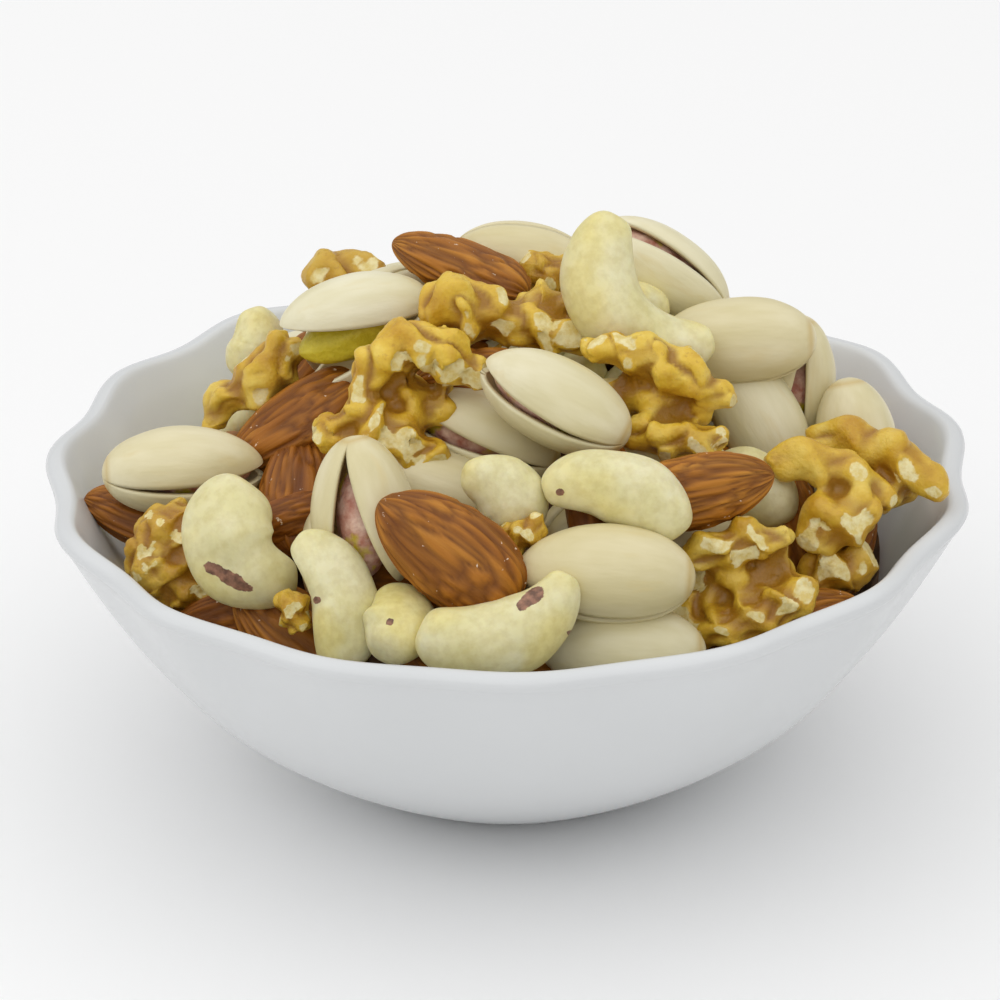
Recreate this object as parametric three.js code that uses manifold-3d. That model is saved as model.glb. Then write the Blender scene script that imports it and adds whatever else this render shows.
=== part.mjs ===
// A small white scalloped bowl heaped with mixed nuts: almonds, cashews, pistachios in their
// split shells and pieces of walnut. Millimetres, +Z up, origin under the middle of the foot,
// seen from -Y. The bowl is one solid; the heap is another: a core with the nuts fused on.
import * as THREE from "three";
import { mergeVertices } from "three/addons/utils/BufferGeometryUtils.js";
import Module from "manifold-3d";

const wasm = await Module();
wasm.setup();

const { PI, sin, cos, hypot, max, min, abs, sqrt } = Math;
const RAD = PI / 180;
const vec = (x, y, z) => new THREE.Vector3(x, y, z);

// ---------------------------------------------------------------- driving dimensions
const RIM_R = 70; // widest radius of the lip, halfway between a lobe and a dip
const RIM_Z = 48.5; // height of that widest line
const CREST_Z = 49.9; // top of the lip
const WALL_T = 3.4;
const FOOT_R = 25;
const FOOT_RING_R = 21.5; // inside edge of the ring that the bowl stands on
const FOOT_RECESS = 1.4;
const FLOOR_Z = 5.2; // the bowl's inside, in the middle
const WALL_TOP = [69.1, 47.1]; // where the outer wall meets the lip, [radius, height]
const WALL_PULL = [
  [51.6, 15.9],
  [55.8, 21.0],
]; // the two handles of the outer wall's curve

const LOBES = 15; // scallops round the rim
const LOBE_PHASE = 8.3 * RAD; // bearing of one lobe's middle
const LOBE_DEPTH = 0.95; // half the difference between a lobe's radius and a dip's
const LOBE_RISE = 0.3; // half the difference in height
const LOBE_FADE_Z = 12; // the scallops have faded out this far down
const BOWL_SIDES = 60;

const HEAP_EDGE_Z = 45; // where nut centres lie against the wall
const HEAP_PEAK = 35.5; // how far the middle of the heap rises above that
const HEAP_R = 60;
const HEAP_POWER = 1.65;
const HEAP_LEAN = [8, 7]; // the peak's place in plan
const CORE_DEPTH = 8; // the core lies this far under the nut centres
const BOWL_GAP = 0.35; // between the heap and the bowl
const SLIVER = 0.5; // joins leave no edge much shorter than this

const ALMOND = { length: 24, width: 13, thick: 8.4 };
const CASHEWS = {
  cashew: { straight: 12, curl: 0.12, thick: 10.4, flat: 0.88, taper: 0.14 },
  cashew_stub: { straight: 11, curl: 0.055, thick: 11.6, flat: 0.9, taper: 0.16 },
};
const PISTACHIO = { length: 23.5, width: 13, thick: 12.2 };
const KERNEL = { length: 17, width: 9.2, thick: 8.4 };

// ---------------------------------------------------------------- closed surfaces
// A closed surface from form(theta, phi): theta runs 0..PI from pole to pole, phi round it.
function closedSurface(form, rings, sides) {
  const points = [form(0, 0)];
  for (let i = 1; i < rings; i++)
    for (let j = 0; j < sides; j++)
      points.push(form((PI * i) / rings, (2 * PI * j) / sides));
  points.push(form(PI, 0));
  const last = points.length - 1;
  const at = (i, j) => 1 + (i - 1) * sides + (j % sides);
  const faces = [];
  for (let j = 0; j < sides; j++) {
    faces.push(0, at(1, j + 1), at(1, j));
    faces.push(last, at(rings - 1, j), at(rings - 1, j + 1));
    for (let i = 1; i < rings - 1; i++) {
      faces.push(at(i, j), at(i, j + 1), at(i + 1, j + 1));
      faces.push(at(i, j), at(i + 1, j + 1), at(i + 1, j));
    }
  }
  const volume = (f) => points[faces[f]].dot(points[faces[f + 1]].clone().cross(points[faces[f + 2]]));
  let sum = 0;
  for (let f = 0; f < faces.length; f += 3) sum += volume(f);
  if (sum < 0) faces.reverse(); // a form may run either way round its pole
  const geometry = new THREE.BufferGeometry().setFromPoints(points);
  geometry.setIndex(faces);
  return geometry;
}

function solidOf(geometry) {
  const bare = geometry.clone();
  bare.deleteAttribute("normal");
  bare.deleteAttribute("uv");
  const merged = mergeVertices(bare, 1e-4);
  const made = new wasm.Manifold(
    new wasm.Mesh({
      numProp: 3,
      vertProperties: new Float32Array(merged.attributes.position.array),
      triVerts: new Uint32Array(merged.index.array),
    }),
  );
  return made;
}

function geometryOf(solid) {
  const { vertProperties, triVerts } = solid.getMesh();
  const geometry = new THREE.BufferGeometry();
  geometry.setAttribute("position", new THREE.BufferAttribute(vertProperties, 3));
  geometry.setIndex(new THREE.BufferAttribute(triVerts, 1));
  geometry.computeVertexNormals();
  return geometry;
}

// ---------------------------------------------------------------- the bowl
const outerWall = new THREE.CubicBezierCurve(
  new THREE.Vector2(FOOT_R, 0),
  ...WALL_PULL.map(([r, z]) => new THREE.Vector2(r, z)),
  new THREE.Vector2(...WALL_TOP),
);

// A point on the wall, `inset` in from the outside, as [radius, height].
function wallPoint(u, inset) {
  const p = outerWall.getPoint(u);
  const t = outerWall.getTangent(u);
  return new THREE.Vector2(p.x - t.y * inset, p.y + t.x * inset);
}

// The bowl's section from the axis underneath, round the lip, back to the axis inside.
// `grow` thickens it all over, for cutting things that must stay clear of it.
function bowlProfile(grow = 0) {
  const steps = (n, from, to) => [...Array(n)].map((_, i) => from + ((to - from) * i) / (n - 1));
  const lip = [
    [RIM_R + grow, RIM_Z - 0.4],
    [RIM_R - 0.7 + grow, RIM_Z + 1],
    [RIM_R - 2.1, CREST_Z + grow],
    [RIM_R - 3.6 - grow, CREST_Z - 0.8],
  ];
  return [
    new THREE.Vector2(0, FOOT_RECESS),
    new THREE.Vector2(FOOT_RING_R - 1, FOOT_RECESS),
    new THREE.Vector2(FOOT_RING_R, 0),
    ...steps(7, 0, 1).map((u) => wallPoint(u, -grow)),
    ...lip.map(([r, z]) => new THREE.Vector2(r, z)),
    ...steps(5, 0.93, 0.2).map((u) => wallPoint(u, WALL_T + grow)),
    new THREE.Vector2(17, FLOOR_Z + 0.5 + grow),
    new THREE.Vector2(0, FLOOR_Z + grow),
  ];
}

function bowlGeometry(grow) {
  const geometry = new THREE.LatheGeometry(bowlProfile(grow), BOWL_SIDES);
  const position = geometry.attributes.position;
  for (let i = 0; i < position.count; i++) {
    // Lathe turns its profile about Y: (x, y, z) there is (x, -z, y) here.
    const [x, y, z] = [position.getX(i), -position.getZ(i), position.getY(i)];
    const r = hypot(x, y);
    const wave = cos(LOBES * (Math.atan2(y, x) - LOBE_PHASE));
    const share = THREE.MathUtils.smoothstep(z, LOBE_FADE_Z, RIM_Z);
    const k = r > 0 ? 1 + (LOBE_DEPTH * share * wave) / r : 1;
    position.setXYZ(i, x * k, y * k, z + LOBE_RISE * share ** 3 * wave);
  }
  return geometry;
}

// Radius of the bowl's inside at a height.
const insideWall = [...Array(40)].map((_, i) => wallPoint(i / 39, WALL_T));
function insideRadius(z) {
  if (z >= RIM_Z) return RIM_R - WALL_T;
  for (let i = 1; i < insideWall.length; i++) {
    const [a, b] = [insideWall[i - 1], insideWall[i]];
    if (b.y >= z) return a.x + ((b.x - a.x) * max(0, z - a.y)) / (b.y - a.y);
  }
  return insideWall.at(-1).x;
}

// ---------------------------------------------------------------- the heap's shape
// Height of the nut centres over a place in plan.
function heapZ(x, y) {
  const k = max(0, 1 - hypot(x, y) / HEAP_R);
  const rho = hypot(x - HEAP_LEAN[0] * k, y - HEAP_LEAN[1] * k);
  return HEAP_EDGE_Z + HEAP_PEAK * (1 - (rho / HEAP_R) ** HEAP_POWER);
}

// The core: a lens whose top lies under the nuts and whose underside lies in the bowl.
function coreGeometry() {
  const CORE_R = 57;
  return closedSurface(
    (theta, phi) => {
      const r = CORE_R * sin(theta);
      const x = r * cos(phi);
      const y = r * sin(phi);
      const top = heapZ(x, y) - CORE_DEPTH;
      const bottom = FLOOR_Z + 30 * (r / CORE_R) ** 3.2;
      return vec(x, y, theta < PI / 2 ? max(top, bottom) : min(top, bottom));
    },
    12,
    24,
  );
}

// ---------------------------------------------------------------- the nuts
// Each nut's long axis is its own X, with the tip at +X; +Z is its upper face.
function almondForm(theta, phi) {
  const point = 0.92 + 0.42 * max(0, -cos(theta)); // narrows to a tip at +X
  const s = sin(theta) ** point * (1 + 0.14 * cos(theta));
  const { length, width, thick } = ALMOND;
  return vec((-length / 2) * cos(theta), (width / 2) * s * cos(phi), (thick / 2) * s * sin(phi));
}

// A kidney bent by `bend` degrees in its own XY plane, hollow side towards +Y, thicker at
// -X. The more it is bent the longer it is, so that its ends stay as far apart.
function cashewForm({ straight, curl, thick, flat, taper }, bend) {
  const radius = (straight + curl * bend - 0.4 * thick) / (bend * RAD);
  const sag = (radius * (1 - cos((bend * RAD) / 2))) / 2;
  return (theta, phi) => {
    const beta = (-cos(theta) * bend * RAD) / 2;
    const swell = (thick / 2) * sin(theta) ** 0.62 * (1 + taper * cos(theta));
    const spine = vec(radius * sin(beta), radius - sag - radius * cos(beta), 0);
    const outward = vec(sin(beta), -cos(beta), 0);
    const onward = vec(cos(beta), sin(beta), 0);
    return spine
      .addScaledVector(outward, swell * cos(phi))
      .addScaledVector(onward, -0.2 * thick * cos(theta) ** 3)
      .add(vec(0, 0, swell * flat * sin(phi)));
  };
}

function ovoid({ length, width, thick }) {
  return (theta, phi) => {
    const s = sin(theta) ** (1 + 0.22 * max(0, -cos(theta))) * (1 + 0.08 * cos(theta));
    return vec((-length / 2) * cos(theta), (width / 2) * s * cos(phi), (thick / 2) * s * sin(phi));
  };
}

// One half of a pistachio's shell, filled: the side with z * way >= 0.
function halfShell(way) {
  const whole = ovoid(PISTACHIO);
  return (theta, phi) => {
    const p = whole(theta, phi);
    if (p.z * way < 0) p.z *= 0.04;
    return p;
  };
}

// A knobbly arm of walnut along a bowed line.
function arm(from, to, bow, radius, knobs) {
  const middle = from.clone().add(to).multiplyScalar(0.5).add(bow);
  const spine = new THREE.QuadraticBezierCurve3(from, middle, to);
  return (theta, phi) => {
    const t = (1 - cos(theta)) / 2;
    const c = spine.getPoint(t);
    const along = spine.getTangent(t);
    const side = vec(-along.y, along.x, 0).normalize();
    const up = along.clone().cross(side).negate();
    const r = radius * sin(theta) ** 0.6 * (1 + 0.16 * cos(2 * PI * knobs * t + 2 * cos(phi)));
    return c.addScaledVector(side, r * cos(phi)).addScaledVector(up, r * sin(phi));
  };
}

// The outside of half a walnut: two lobes with a furrow between.
function domeForm(theta, phi) {
  const x = -13.5 * cos(theta);
  const furrow = 1 - 0.22 * Math.exp(-((cos(phi) / 0.22) ** 2)) * (sin(phi) > 0 ? 1 : 0);
  const knob = 1 + 0.08 * cos(5 * phi + 1.4 * x) * sin(theta);
  const s = sin(theta) ** 0.7 * furrow * knob;
  return vec(x, 10.8 * s * cos(phi), (sin(phi) > 0 ? 8.5 : 4.5) * s * sin(phi));
}

// Pieces of walnut as arms: [from, to, bow, radius, knobs], seen from +Z.
const ARMS = {
  walnut_chunk: [[vec(-6, 0, 0), vec(6, 0, 0), vec(0, 2, 1), 4.4, 2]],
  walnut_arch: [
    [vec(-8.4, 0, 0), vec(11, 0.8, 0), vec(0, 15, 1), 4.2, 4],
    [vec(-8.4, 0.8, 0), vec(6, -9.5, 0), vec(-3, -3, 1), 4.1, 3],
    [vec(-15, -6, -1), vec(-7, -7.5, -1), vec(0, 3, 0), 2.9, 2],
    [vec(-6, 1, -4), vec(7, -2, -4), vec(0, 0, 0), 4.6, 2],
  ],
  walnut_ring: [
    [vec(-11, 6.5, 0), vec(12, -2, 0), vec(0, 5, 1), 3.7, 4],
    [vec(-5.5, -5, 0), vec(11.5, -6.5, 1), vec(0, -2, 1), 3.3, 3],
    [vec(-9, 1, -4), vec(9, -3, -4), vec(0, 0, 0), 4.2, 2],
  ],
  walnut_long: [
    [vec(-11, 1.5, 0), vec(1, 0, 0), vec(0, 2, 2), 4.6, 2],
    [vec(-6, 1, -1), vec(12, -3.4, 0), vec(0, 2, 1), 3.6, 3],
    [vec(2, 3, -3), vec(10, 2, -3), vec(0, 0, 0), 3.2, 2],
  ],
  walnut_ridges: [
    [vec(-8.5, 3.5, 0), vec(8.5, 6, 0), vec(0, 4, 1), 3.5, 3],
    [vec(-8, -7, 0), vec(10.8, 1.5, 0), vec(2, -3, 2), 3.9, 4],
    [vec(-9, -1, -3), vec(9, 3, -3), vec(0, 0, 0), 4, 2],
    [vec(-11, -3.5, -1), vec(-4, -7.5, -1), vec(0, 0, 0), 3, 2],
  ],
  walnut_hook: [
    [vec(-5, -3.5, 0), vec(6.5, 1, 0), vec(0, 3, 2), 4.7, 2],
    [vec(-11, 9, -1), vec(9, 1.5, -2), vec(3, 5, 0), 3.4, 3],
  ],
  walnut_lobe: [
    [vec(-11.5, 6, 0), vec(12.5, -4, 0), vec(3, 6, 1), 3.9, 3],
    [vec(-7, 1, -4), vec(7, -3, -4), vec(0, 0, 0), 4, 2],
  ],
  walnut_bits: [
    [vec(-3, -4.5, 0), vec(4, 5, 0), vec(-2, 2, 1), 4.2, 2],
    [vec(-9.5, -7, -1), vec(0, 1, -1), vec(-2, 2, 0), 2.9, 2],
  ],
  walnut_nub: [
    [vec(-4, 1.6, 0), vec(5, 1.4, 0), vec(0, 3, 0), 2.9, 2],
    [vec(-5.5, -2.4, -1), vec(5, -1.8, -1), vec(0, 0, 0), 3, 2],
  ],
};

// The hinge of a pistachio's two halves is at its stem end.
function opened(geometry, way, degrees) {
  const hinge = -PISTACHIO.length / 2 + 2.5;
  return geometry
    .translate(-hinge, 0, 0)
    .rotateY((-way * degrees * RAD) / 2)
    .translate(hinge, 0, 0);
}

// The closed bodies that one nut is made of. `bent` is a pistachio's opening or a cashew's
// bend, in degrees. A `coarse` one has fewer faces.
function nutBodies(kind, bent, coarse) {
  const surface = (form, rings, sides) =>
    coarse ? closedSurface(form, rings - 1, sides - 2) : closedSurface(form, rings, sides);
  if (kind === "almond") return [surface(almondForm, 6, 8)];
  if (kind in CASHEWS) return [surface(cashewForm(CASHEWS[kind], bent), 7, 7)];
  if (kind === "walnut_dome") return [surface(domeForm, 8, 10)];
  if (kind === "pistachio" && bent < 4) return [surface(ovoid(PISTACHIO), 6, 8)];
  if (kind === "pistachio")
    return [
      ...[1, -1].map((way) => opened(surface(halfShell(way), 6, 7), way, bent)),
      surface(ovoid(KERNEL), 5, 5).translate(1.5, 0, 0),
    ];
  return ARMS[kind].map((a) => surface(arm(...a), 5, 6));
}

// Balls that stand in for a nut while it is settled against the others: [x, y, z, radius].
function nutBalls(kind, bent) {
  if (kind === "almond")
    return [
      [-8.2, 0, 0, 3.5],
      [8.2, 0, 0, 2.8],
      ...[-1, 1].flatMap((w) => [
        [-4.4, 2.2 * w, 0, 4.1],
        [0, 2.4 * w, 0, 4.2],
        [4.3, 1.5 * w, 0, 3.7],
      ]),
    ];
  if (kind in CASHEWS)
    return [0.12, 0.27, 0.42, 0.58, 0.73, 0.88].map((t) => {
      const [a, b] = [0, PI].map((phi) => cashewForm(CASHEWS[kind], bent)(PI * t, phi));
      return [(a.x + b.x) / 2, (a.y + b.y) / 2, 0, (a.distanceTo(b) / 2) * 0.92];
    });
  if (kind === "pistachio")
    return [-7.5, -3.8, 0, 3.8, 7.4, 10].flatMap((x, i) => {
      const r = [4.4, 5.7, 6.1, 5.5, 4.1, 2.4][i];
      const spread = bent > 3 ? (x + 9) * sin((bent * RAD) / 2) : 0;
      return spread > 0 ? [[x, 0, spread, r], [x, 0, -spread, r]] : [[x, 0, 0, r]];
    });
  if (kind === "walnut_dome")
    return [-8.5, -3, 3, 8.5].flatMap((x) => [-1, 1].map((w) => [x, w * 4.4, 1.2, 5.2]));
  return ARMS[kind].flatMap((a) =>
    [0.2, 0.4, 0.6, 0.8].map((t) => {
      const p = arm(...a)(PI * t, 0.5 * PI);
      const q = arm(...a)(PI * t, 1.5 * PI);
      return [(p.x + q.x) / 2, (p.y + q.y) / 2, (p.z + q.z) / 2, a[3] * 0.92];
    }),
  );
}

// ---------------------------------------------------------------- where the nuts lie
// The near nuts are placed by where they show in a picture 1000 pixels square.
const VIEW = {
  elevation: 26.13 * RAD,
  distance: 710, // from the middle of the rim
  focal: 4646, // pixels
  centre: [508, 467], // where the middle of the rim shows
  lean: -0.6 * RAD,
};
const look = vec(0, cos(VIEW.elevation), -sin(VIEW.elevation));
const level = vec(1, 0, 0);
const upright = level.clone().cross(look);
const across = level
  .clone()
  .multiplyScalar(cos(VIEW.lean))
  .addScaledVector(upright, sin(VIEW.lean));
const upward = upright
  .clone()
  .multiplyScalar(cos(VIEW.lean))
  .addScaledVector(level, -sin(VIEW.lean));
const eye = vec(0, 0, RIM_Z).addScaledVector(look, -VIEW.distance);

// Direction from the eye to a pixel.
function sight(px, py) {
  return look
    .clone()
    .addScaledVector(across, (px - VIEW.centre[0]) / VIEW.focal)
    .addScaledVector(upward, (VIEW.centre[1] - py) / VIEW.focal)
    .normalize();
}

// Where that line meets the heap, or passes closest over it.
function onHeap(px, py) {
  const way = sight(px, py);
  let best = null;
  for (let d = VIEW.distance - 90; d < VIEW.distance + 70; d += 1) {
    const p = eye.clone().addScaledVector(way, d);
    const over = hypot(p.x, p.y) < HEAP_R + 4 ? p.z - heapZ(p.x, p.y) : 99;
    if (over <= 0) return p;
    if (!best || over < best.over) best = { over, p };
  }
  return best.p;
}

// [kind, across, down, turn, tip away, roll, size, opening or bend, lift], deepest first.
// across and down are pixels; turn is the bearing of the tip in the picture, anticlockwise
// from the right; lift is millimetres towards the eye.
const NEAR_NUTS = [
  ["almond", 250, 628, 10, 0, 40, 1],
  ["almond", 800, 636, 20, 0, 30, 1, 0, -6],
  ["almond", 846, 560, 60, 20, 60, 0.75],
  ["almond", 420, 652, 150, 0, 60, 0.85],
  ["pistachio", 446, 494, -20, 0, 0, 0.95, 0],
  ["pistachio", 340, 560, 100, 20, 0, 0.9, 0],
  ["almond", 300, 640, 140, 0, 20, 1],
  ["almond", 790, 524, 100, 0, 40, 0.85],
  ["almond", 545, 590, 20, 0, 20, 1],
  ["cashew", 655, 456, 175, 0, 30, 1, 80],
  ["walnut_chunk", 290, 612, -70, 0, 0, 0.58, 0, -4],
  ["pistachio", 485, 437, 160, 0, 70, 1, 8],
  ["almond", 484, 380, 5, 0, 30, 0.85],
  ["walnut_chunk", 545, 279, 0, 0, 0, 0.85, 0, 2],
  ["pistachio", 526, 264, -6, 0, 25, 1, 0],
  ["cashew_stub", 254, 345, 80, 0, 0, 0.85, 60],
  ["walnut_nub", 340, 298, 0, 0, 0, 1.35, 0, 2],
  ["walnut_long", 500, 322, 0, 0, 0, 1.12, 0, 1],
  ["pistachio", 762, 424, -60, 0, 0, 1, 0],
  ["pistachio", 858, 450, -80, 0, 0, 0.95],
  ["pistachio", 790, 386, -98, 10, 80, 0.95, 14],
  ["walnut_bits", 274, 382, 0, 0, 0, 1.15],
  ["almond", 298, 496, 90, 40, 0, 0.95],
  ["almond", 306, 524, 20, 0, 50, 0.9],
  ["almond", 138, 520, 165, 0, 40, 1],
  ["almond", 294, 424, 213, 10, 50, 1, 0, 2],
  ["walnut_ring", 655, 394, 0, 0, 0, 1, 0, -2],
  ["walnut_arch", 408, 398, 0, 0, 0, 1],
  ["pistachio", 662, 272, 145, 0, -60, 1, 7, 3],
  ["pistachio", 735, 341, 182, 0, 20, 1.05],
  ["cashew", 635, 301, -52, 0, 0, 1.14, 135, 3],
  ["almond", 460, 268, 158, 10, 60, 0.94],
  ["pistachio", 360, 328, 203, 0, 65, 1, 30],
  ["pistachio", 556, 402, 153, 0, 56, 1.02, 5, -2],
  ["walnut_lobe", 872, 474, 0, -20, 0, 0.9, 0, 10],
  ["cashew_stub", 748, 490, 150, 0, 0, 0.95, 90],
  ["almond", 702, 490, 12, 0, 20, 0.9],
  ["walnut_chunk", 853, 577, 20, 0, 0, 1.02, 0, 2],
  ["walnut_hook", 835, 522, 0, 0, 0, 1, 0, 2],
  ["walnut_ridges", 738, 588, 0, 0, 0, 1, 0, 3],
  ["cashew_stub", 500, 496, 130, -20, 0, 0.95, 70],
  ["walnut_chunk", 525, 537, 30, 0, 0, 0.62],
  ["pistachio", 183, 471, 2, 0, -62, 1.04, 5],
  ["walnut_dome", 190, 566, -30, 0, 0, 0.82],
  ["pistachio", 363, 512, -84, 0, 112, 0.95, 26],
  ["cashew", 332, 598, 106, 0, 0, 1, 80, 3],
  ["cashew_stub", 396, 622, 85, 40, 0, 0.92, 50, 2],
  ["pistachio", 622, 650, 178, 0, 0, 1.04, 0],
  ["pistachio", 606, 574, 177, 0, 25, 1.1, 4],
  ["cashew", 617, 496, 162, 0, 0, 1.1, 72],
  ["almond", 447, 553, 143, 0, 0, 1.02],
  ["cashew", 502, 624, 20, 0, 0, 1.14, 88],
  ["cashew_stub", 247, 545, -64, 0, 0, 1.2, 125],
];

const SEED = 20;
const RINGS = [
  [57, 34],
  [50, 31],
  [43, 27],
  [36, 22],
  [28, 17],
  [20, 12],
  [11, 6],
]; // [radius, how many are tried]
const NEAR_SINK = 1.4; // how far the near nuts press into each other, as balls
const SINK = 2.4; // and the others
const TOUCH = 1.2; // and the least that the others do
const FAR_FROM = -28; // beyond this, measured along the eye's look, is the far side
const UNDER = 4; // on the near side they lie at least this far under the surface
const OTHER_KINDS = ["almond", "cashew", "pistachio", "walnut_hook", "pistachio", "almond",
  "cashew", "pistachio"];

function randomFrom(seed) {
  let state = seed;
  return () => {
    state = (state * 48271) % 2147483647;
    return state / 2147483647;
  };
}

class Settled {
  constructor() {
    this.nuts = [];
    this.balls = [];
  }

  ballsOf(nut, matrix) {
    return nutBalls(nut.kind, nut.bent).map(([x, y, z, r]) => ({
      c: vec(x, y, z).applyMatrix4(matrix),
      r: r * nut.size,
    }));
  }

  // Whether `balls` press further than `sink` into those already there.
  meets(balls, sink) {
    return balls.some((a) =>
      this.balls.some((b) => a.c.distanceTo(b.c) < a.r + b.r - sink),
    );
  }

  // How far the balls reach past the bowl's inside, and the way back in.
  wallPush(balls) {
    let push = vec(0, 0, 0);
    for (const { c, r } of balls) {
      const out = hypot(c.x, c.y);
      const over = c.z < CREST_Z + r ? out + r - insideRadius(c.z) + 0.8 : 0;
      if (over > push.length()) push = vec(-c.x, -c.y, 0).multiplyScalar(over / out);
    }
    return push;
  }

  // Moves a nut along `way` from `start` until it isn't `barred`, within `reach`.
  settle(nut, turned, start, way, reach, barred) {
    const STEP = 0.5;
    const place = start.clone();
    const matrix = () => turned.clone().setPosition(place);
    for (let gone = 0; gone < reach && barred(this.ballsOf(nut, matrix())); gone += STEP)
      place.addScaledVector(way, STEP);
    for (let i = 0; i < 4; i++) place.add(this.wallPush(this.ballsOf(nut, matrix())));
    return matrix();
  }

  add(nut, matrix) {
    this.nuts.push({ ...nut, matrix });
    this.balls.push(...this.ballsOf(nut, matrix));
  }
}

function turnedBy(x, y, z, tipAway, roll, size) {
  return new THREE.Matrix4()
    .makeBasis(x, y, z)
    .multiply(new THREE.Matrix4().makeRotationY(tipAway * RAD))
    .multiply(new THREE.Matrix4().makeRotationX(roll * RAD))
    .scale(vec(size, size, size));
}

// Top of the near nuts in the picture over a place across it, as height in the view's plane.
function skyline(balls, u) {
  let top = -99;
  for (const { c, r } of balls) {
    const off = abs(c.dot(across) - u);
    if (off < r) top = max(top, c.dot(upward) + sqrt(r * r - off * off));
  }
  return top;
}

// The near nuts, from the topmost: each goes away from the eye until it is behind the others.
function placeNear(heap) {
  const REACH = 16;
  for (const near of [...NEAR_NUTS].reverse()) {
    const [kind, px, py, turn, tipAway, roll, size, bent = 0, lift = 0] = near;
    const way = sight(px, py);
    const x = across
      .clone()
      .multiplyScalar(cos(turn * RAD))
      .addScaledVector(upward, sin(turn * RAD));
    const z = look.clone().negate();
    const turned = turnedBy(x, z.clone().cross(x), z, tipAway, roll, size);
    const nut = { kind, size, bent };
    const start = onHeap(px, py).addScaledVector(way, -lift);
    const barred = (balls) => heap.meets(balls, NEAR_SINK);
    heap.add(nut, heap.settle(nut, turned, start, way, REACH, barred));
  }
}

// Another pistachio is open or shut, and another cashew bent more or less, by `chance`.
function otherBend(kind, chance) {
  if (kind === "cashew") return 70 + 40 * chance;
  return kind === "pistachio" && chance < 0.35 ? 10 + 40 * chance : 0;
}

// Whether any of `balls` would stand over the near nuts' outline in the picture.
function showsOver(nearBalls, balls) {
  return balls.some(({ c, r }) =>
    [-0.7, 0, 0.7].some((k) => {
      const top = c.dot(upward) + r * sqrt(1 - k * k);
      return top > skyline(nearBalls, c.dot(across) + k * r) - 0.3;
    }),
  );
}

// The other nuts, in rings over the heap: those of the far side, and those that lie under
// the near ones and show between them.
function placeOthers(heap) {
  const REACH = 12;
  const nearBalls = [...heap.balls];
  const random = randomFrom(SEED);
  for (const [radius, count] of RINGS)
    for (let i = 0; i < count; i++) {
      const bearing = (2 * PI * (i + 0.35 * random())) / count + radius;
      const [x, y] = [radius * cos(bearing), radius * sin(bearing)];
      const kind = OTHER_KINDS[Math.floor(random() * OTHER_KINDS.length)];
      const size = 0.92 + 0.12 * random();
      const bent = otherBend(kind, random());
      const slope = vec(heapZ(x - 1, y) - heapZ(x + 1, y), heapZ(x, y - 1) - heapZ(x, y + 1), 2);
      const z = slope.normalize();
      const heading = 2 * PI * random();
      const along = vec(cos(heading), sin(heading), 0).projectOnPlane(z).normalize();
      const [tip, roll] = [24 * (random() - 0.5), 120 * (random() - 0.5)];
      const turned = turnedBy(along, z.clone().cross(along), z, tip, roll, size);
      const nut = { kind, size, bent, coarse: true };
      const barred = (balls) => {
        const far = balls.every(({ c }) => c.dot(look) > FAR_FROM);
        const under = balls.every(({ c }) => heapZ(c.x, c.y) - c.z > UNDER);
        return heap.meets(balls, SINK) || showsOver(nearBalls, balls) || !(far || under);
      };
      const start = vec(x, y, heapZ(x, y));
      const matrix = heap.settle(nut, turned, start, z.clone().negate(), REACH, barred);
      const balls = heap.ballsOf(nut, matrix);
      const onCore = balls.some(({ c, r }) => c.z - r < heapZ(c.x, c.y) - CORE_DEPTH - TOUCH);
      if (!barred(balls) && (onCore || heap.meets(balls, TOUCH))) heap.add(nut, matrix);
    }
}

// ---------------------------------------------------------------- the two solids
const heap = new Settled();
placeNear(heap);
placeOthers(heap);
const bodies = heap.nuts.flatMap(({ kind, bent, coarse, matrix }) =>
  nutBodies(kind, bent, coarse).map((geometry) => solidOf(geometry.applyMatrix4(matrix))),
);
const clearOfBowl = solidOf(bowlGeometry(BOWL_GAP));
const fused = wasm.Manifold.union([solidOf(coreGeometry()), ...bodies]).subtract(clearOfBowl);
const heapSolid = fused.simplify(SLIVER).decompose().sort((a, b) => b.volume() - a.volume())[0];

const glaze = new THREE.MeshStandardMaterial({ color: 0xe9ebec, roughness: 0.22, metalness: 0 });
const nutSkin = new THREE.MeshStandardMaterial({ color: 0xc9a765, roughness: 0.6, metalness: 0 });

const bowlMesh = new THREE.Mesh(bowlGeometry(0), glaze);
bowlMesh.name = "bowl";
const heapMesh = new THREE.Mesh(geometryOf(heapSolid), nutSkin);
heapMesh.name = "nut_heap";

const bowlOfNuts = new THREE.Group();
bowlOfNuts.add(bowlMesh, heapMesh);
export default bowlOfNuts;
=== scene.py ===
# A small white scalloped bowl heaped with mixed nuts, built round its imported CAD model.
# The bowl and the heap are both replaced by finer pieces: a smooth glazed bowl, and one
# piece for each kind of nut, laid by the same rules and from the same list as the solids.
# Sizes are millimetres until a mesh is made, which is in metres.
import random
from math import cos, hypot, pi, radians, sin, sqrt
from types import SimpleNamespace as Values

import bpy
import numpy as np
from mathutils import Matrix, Vector


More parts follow.
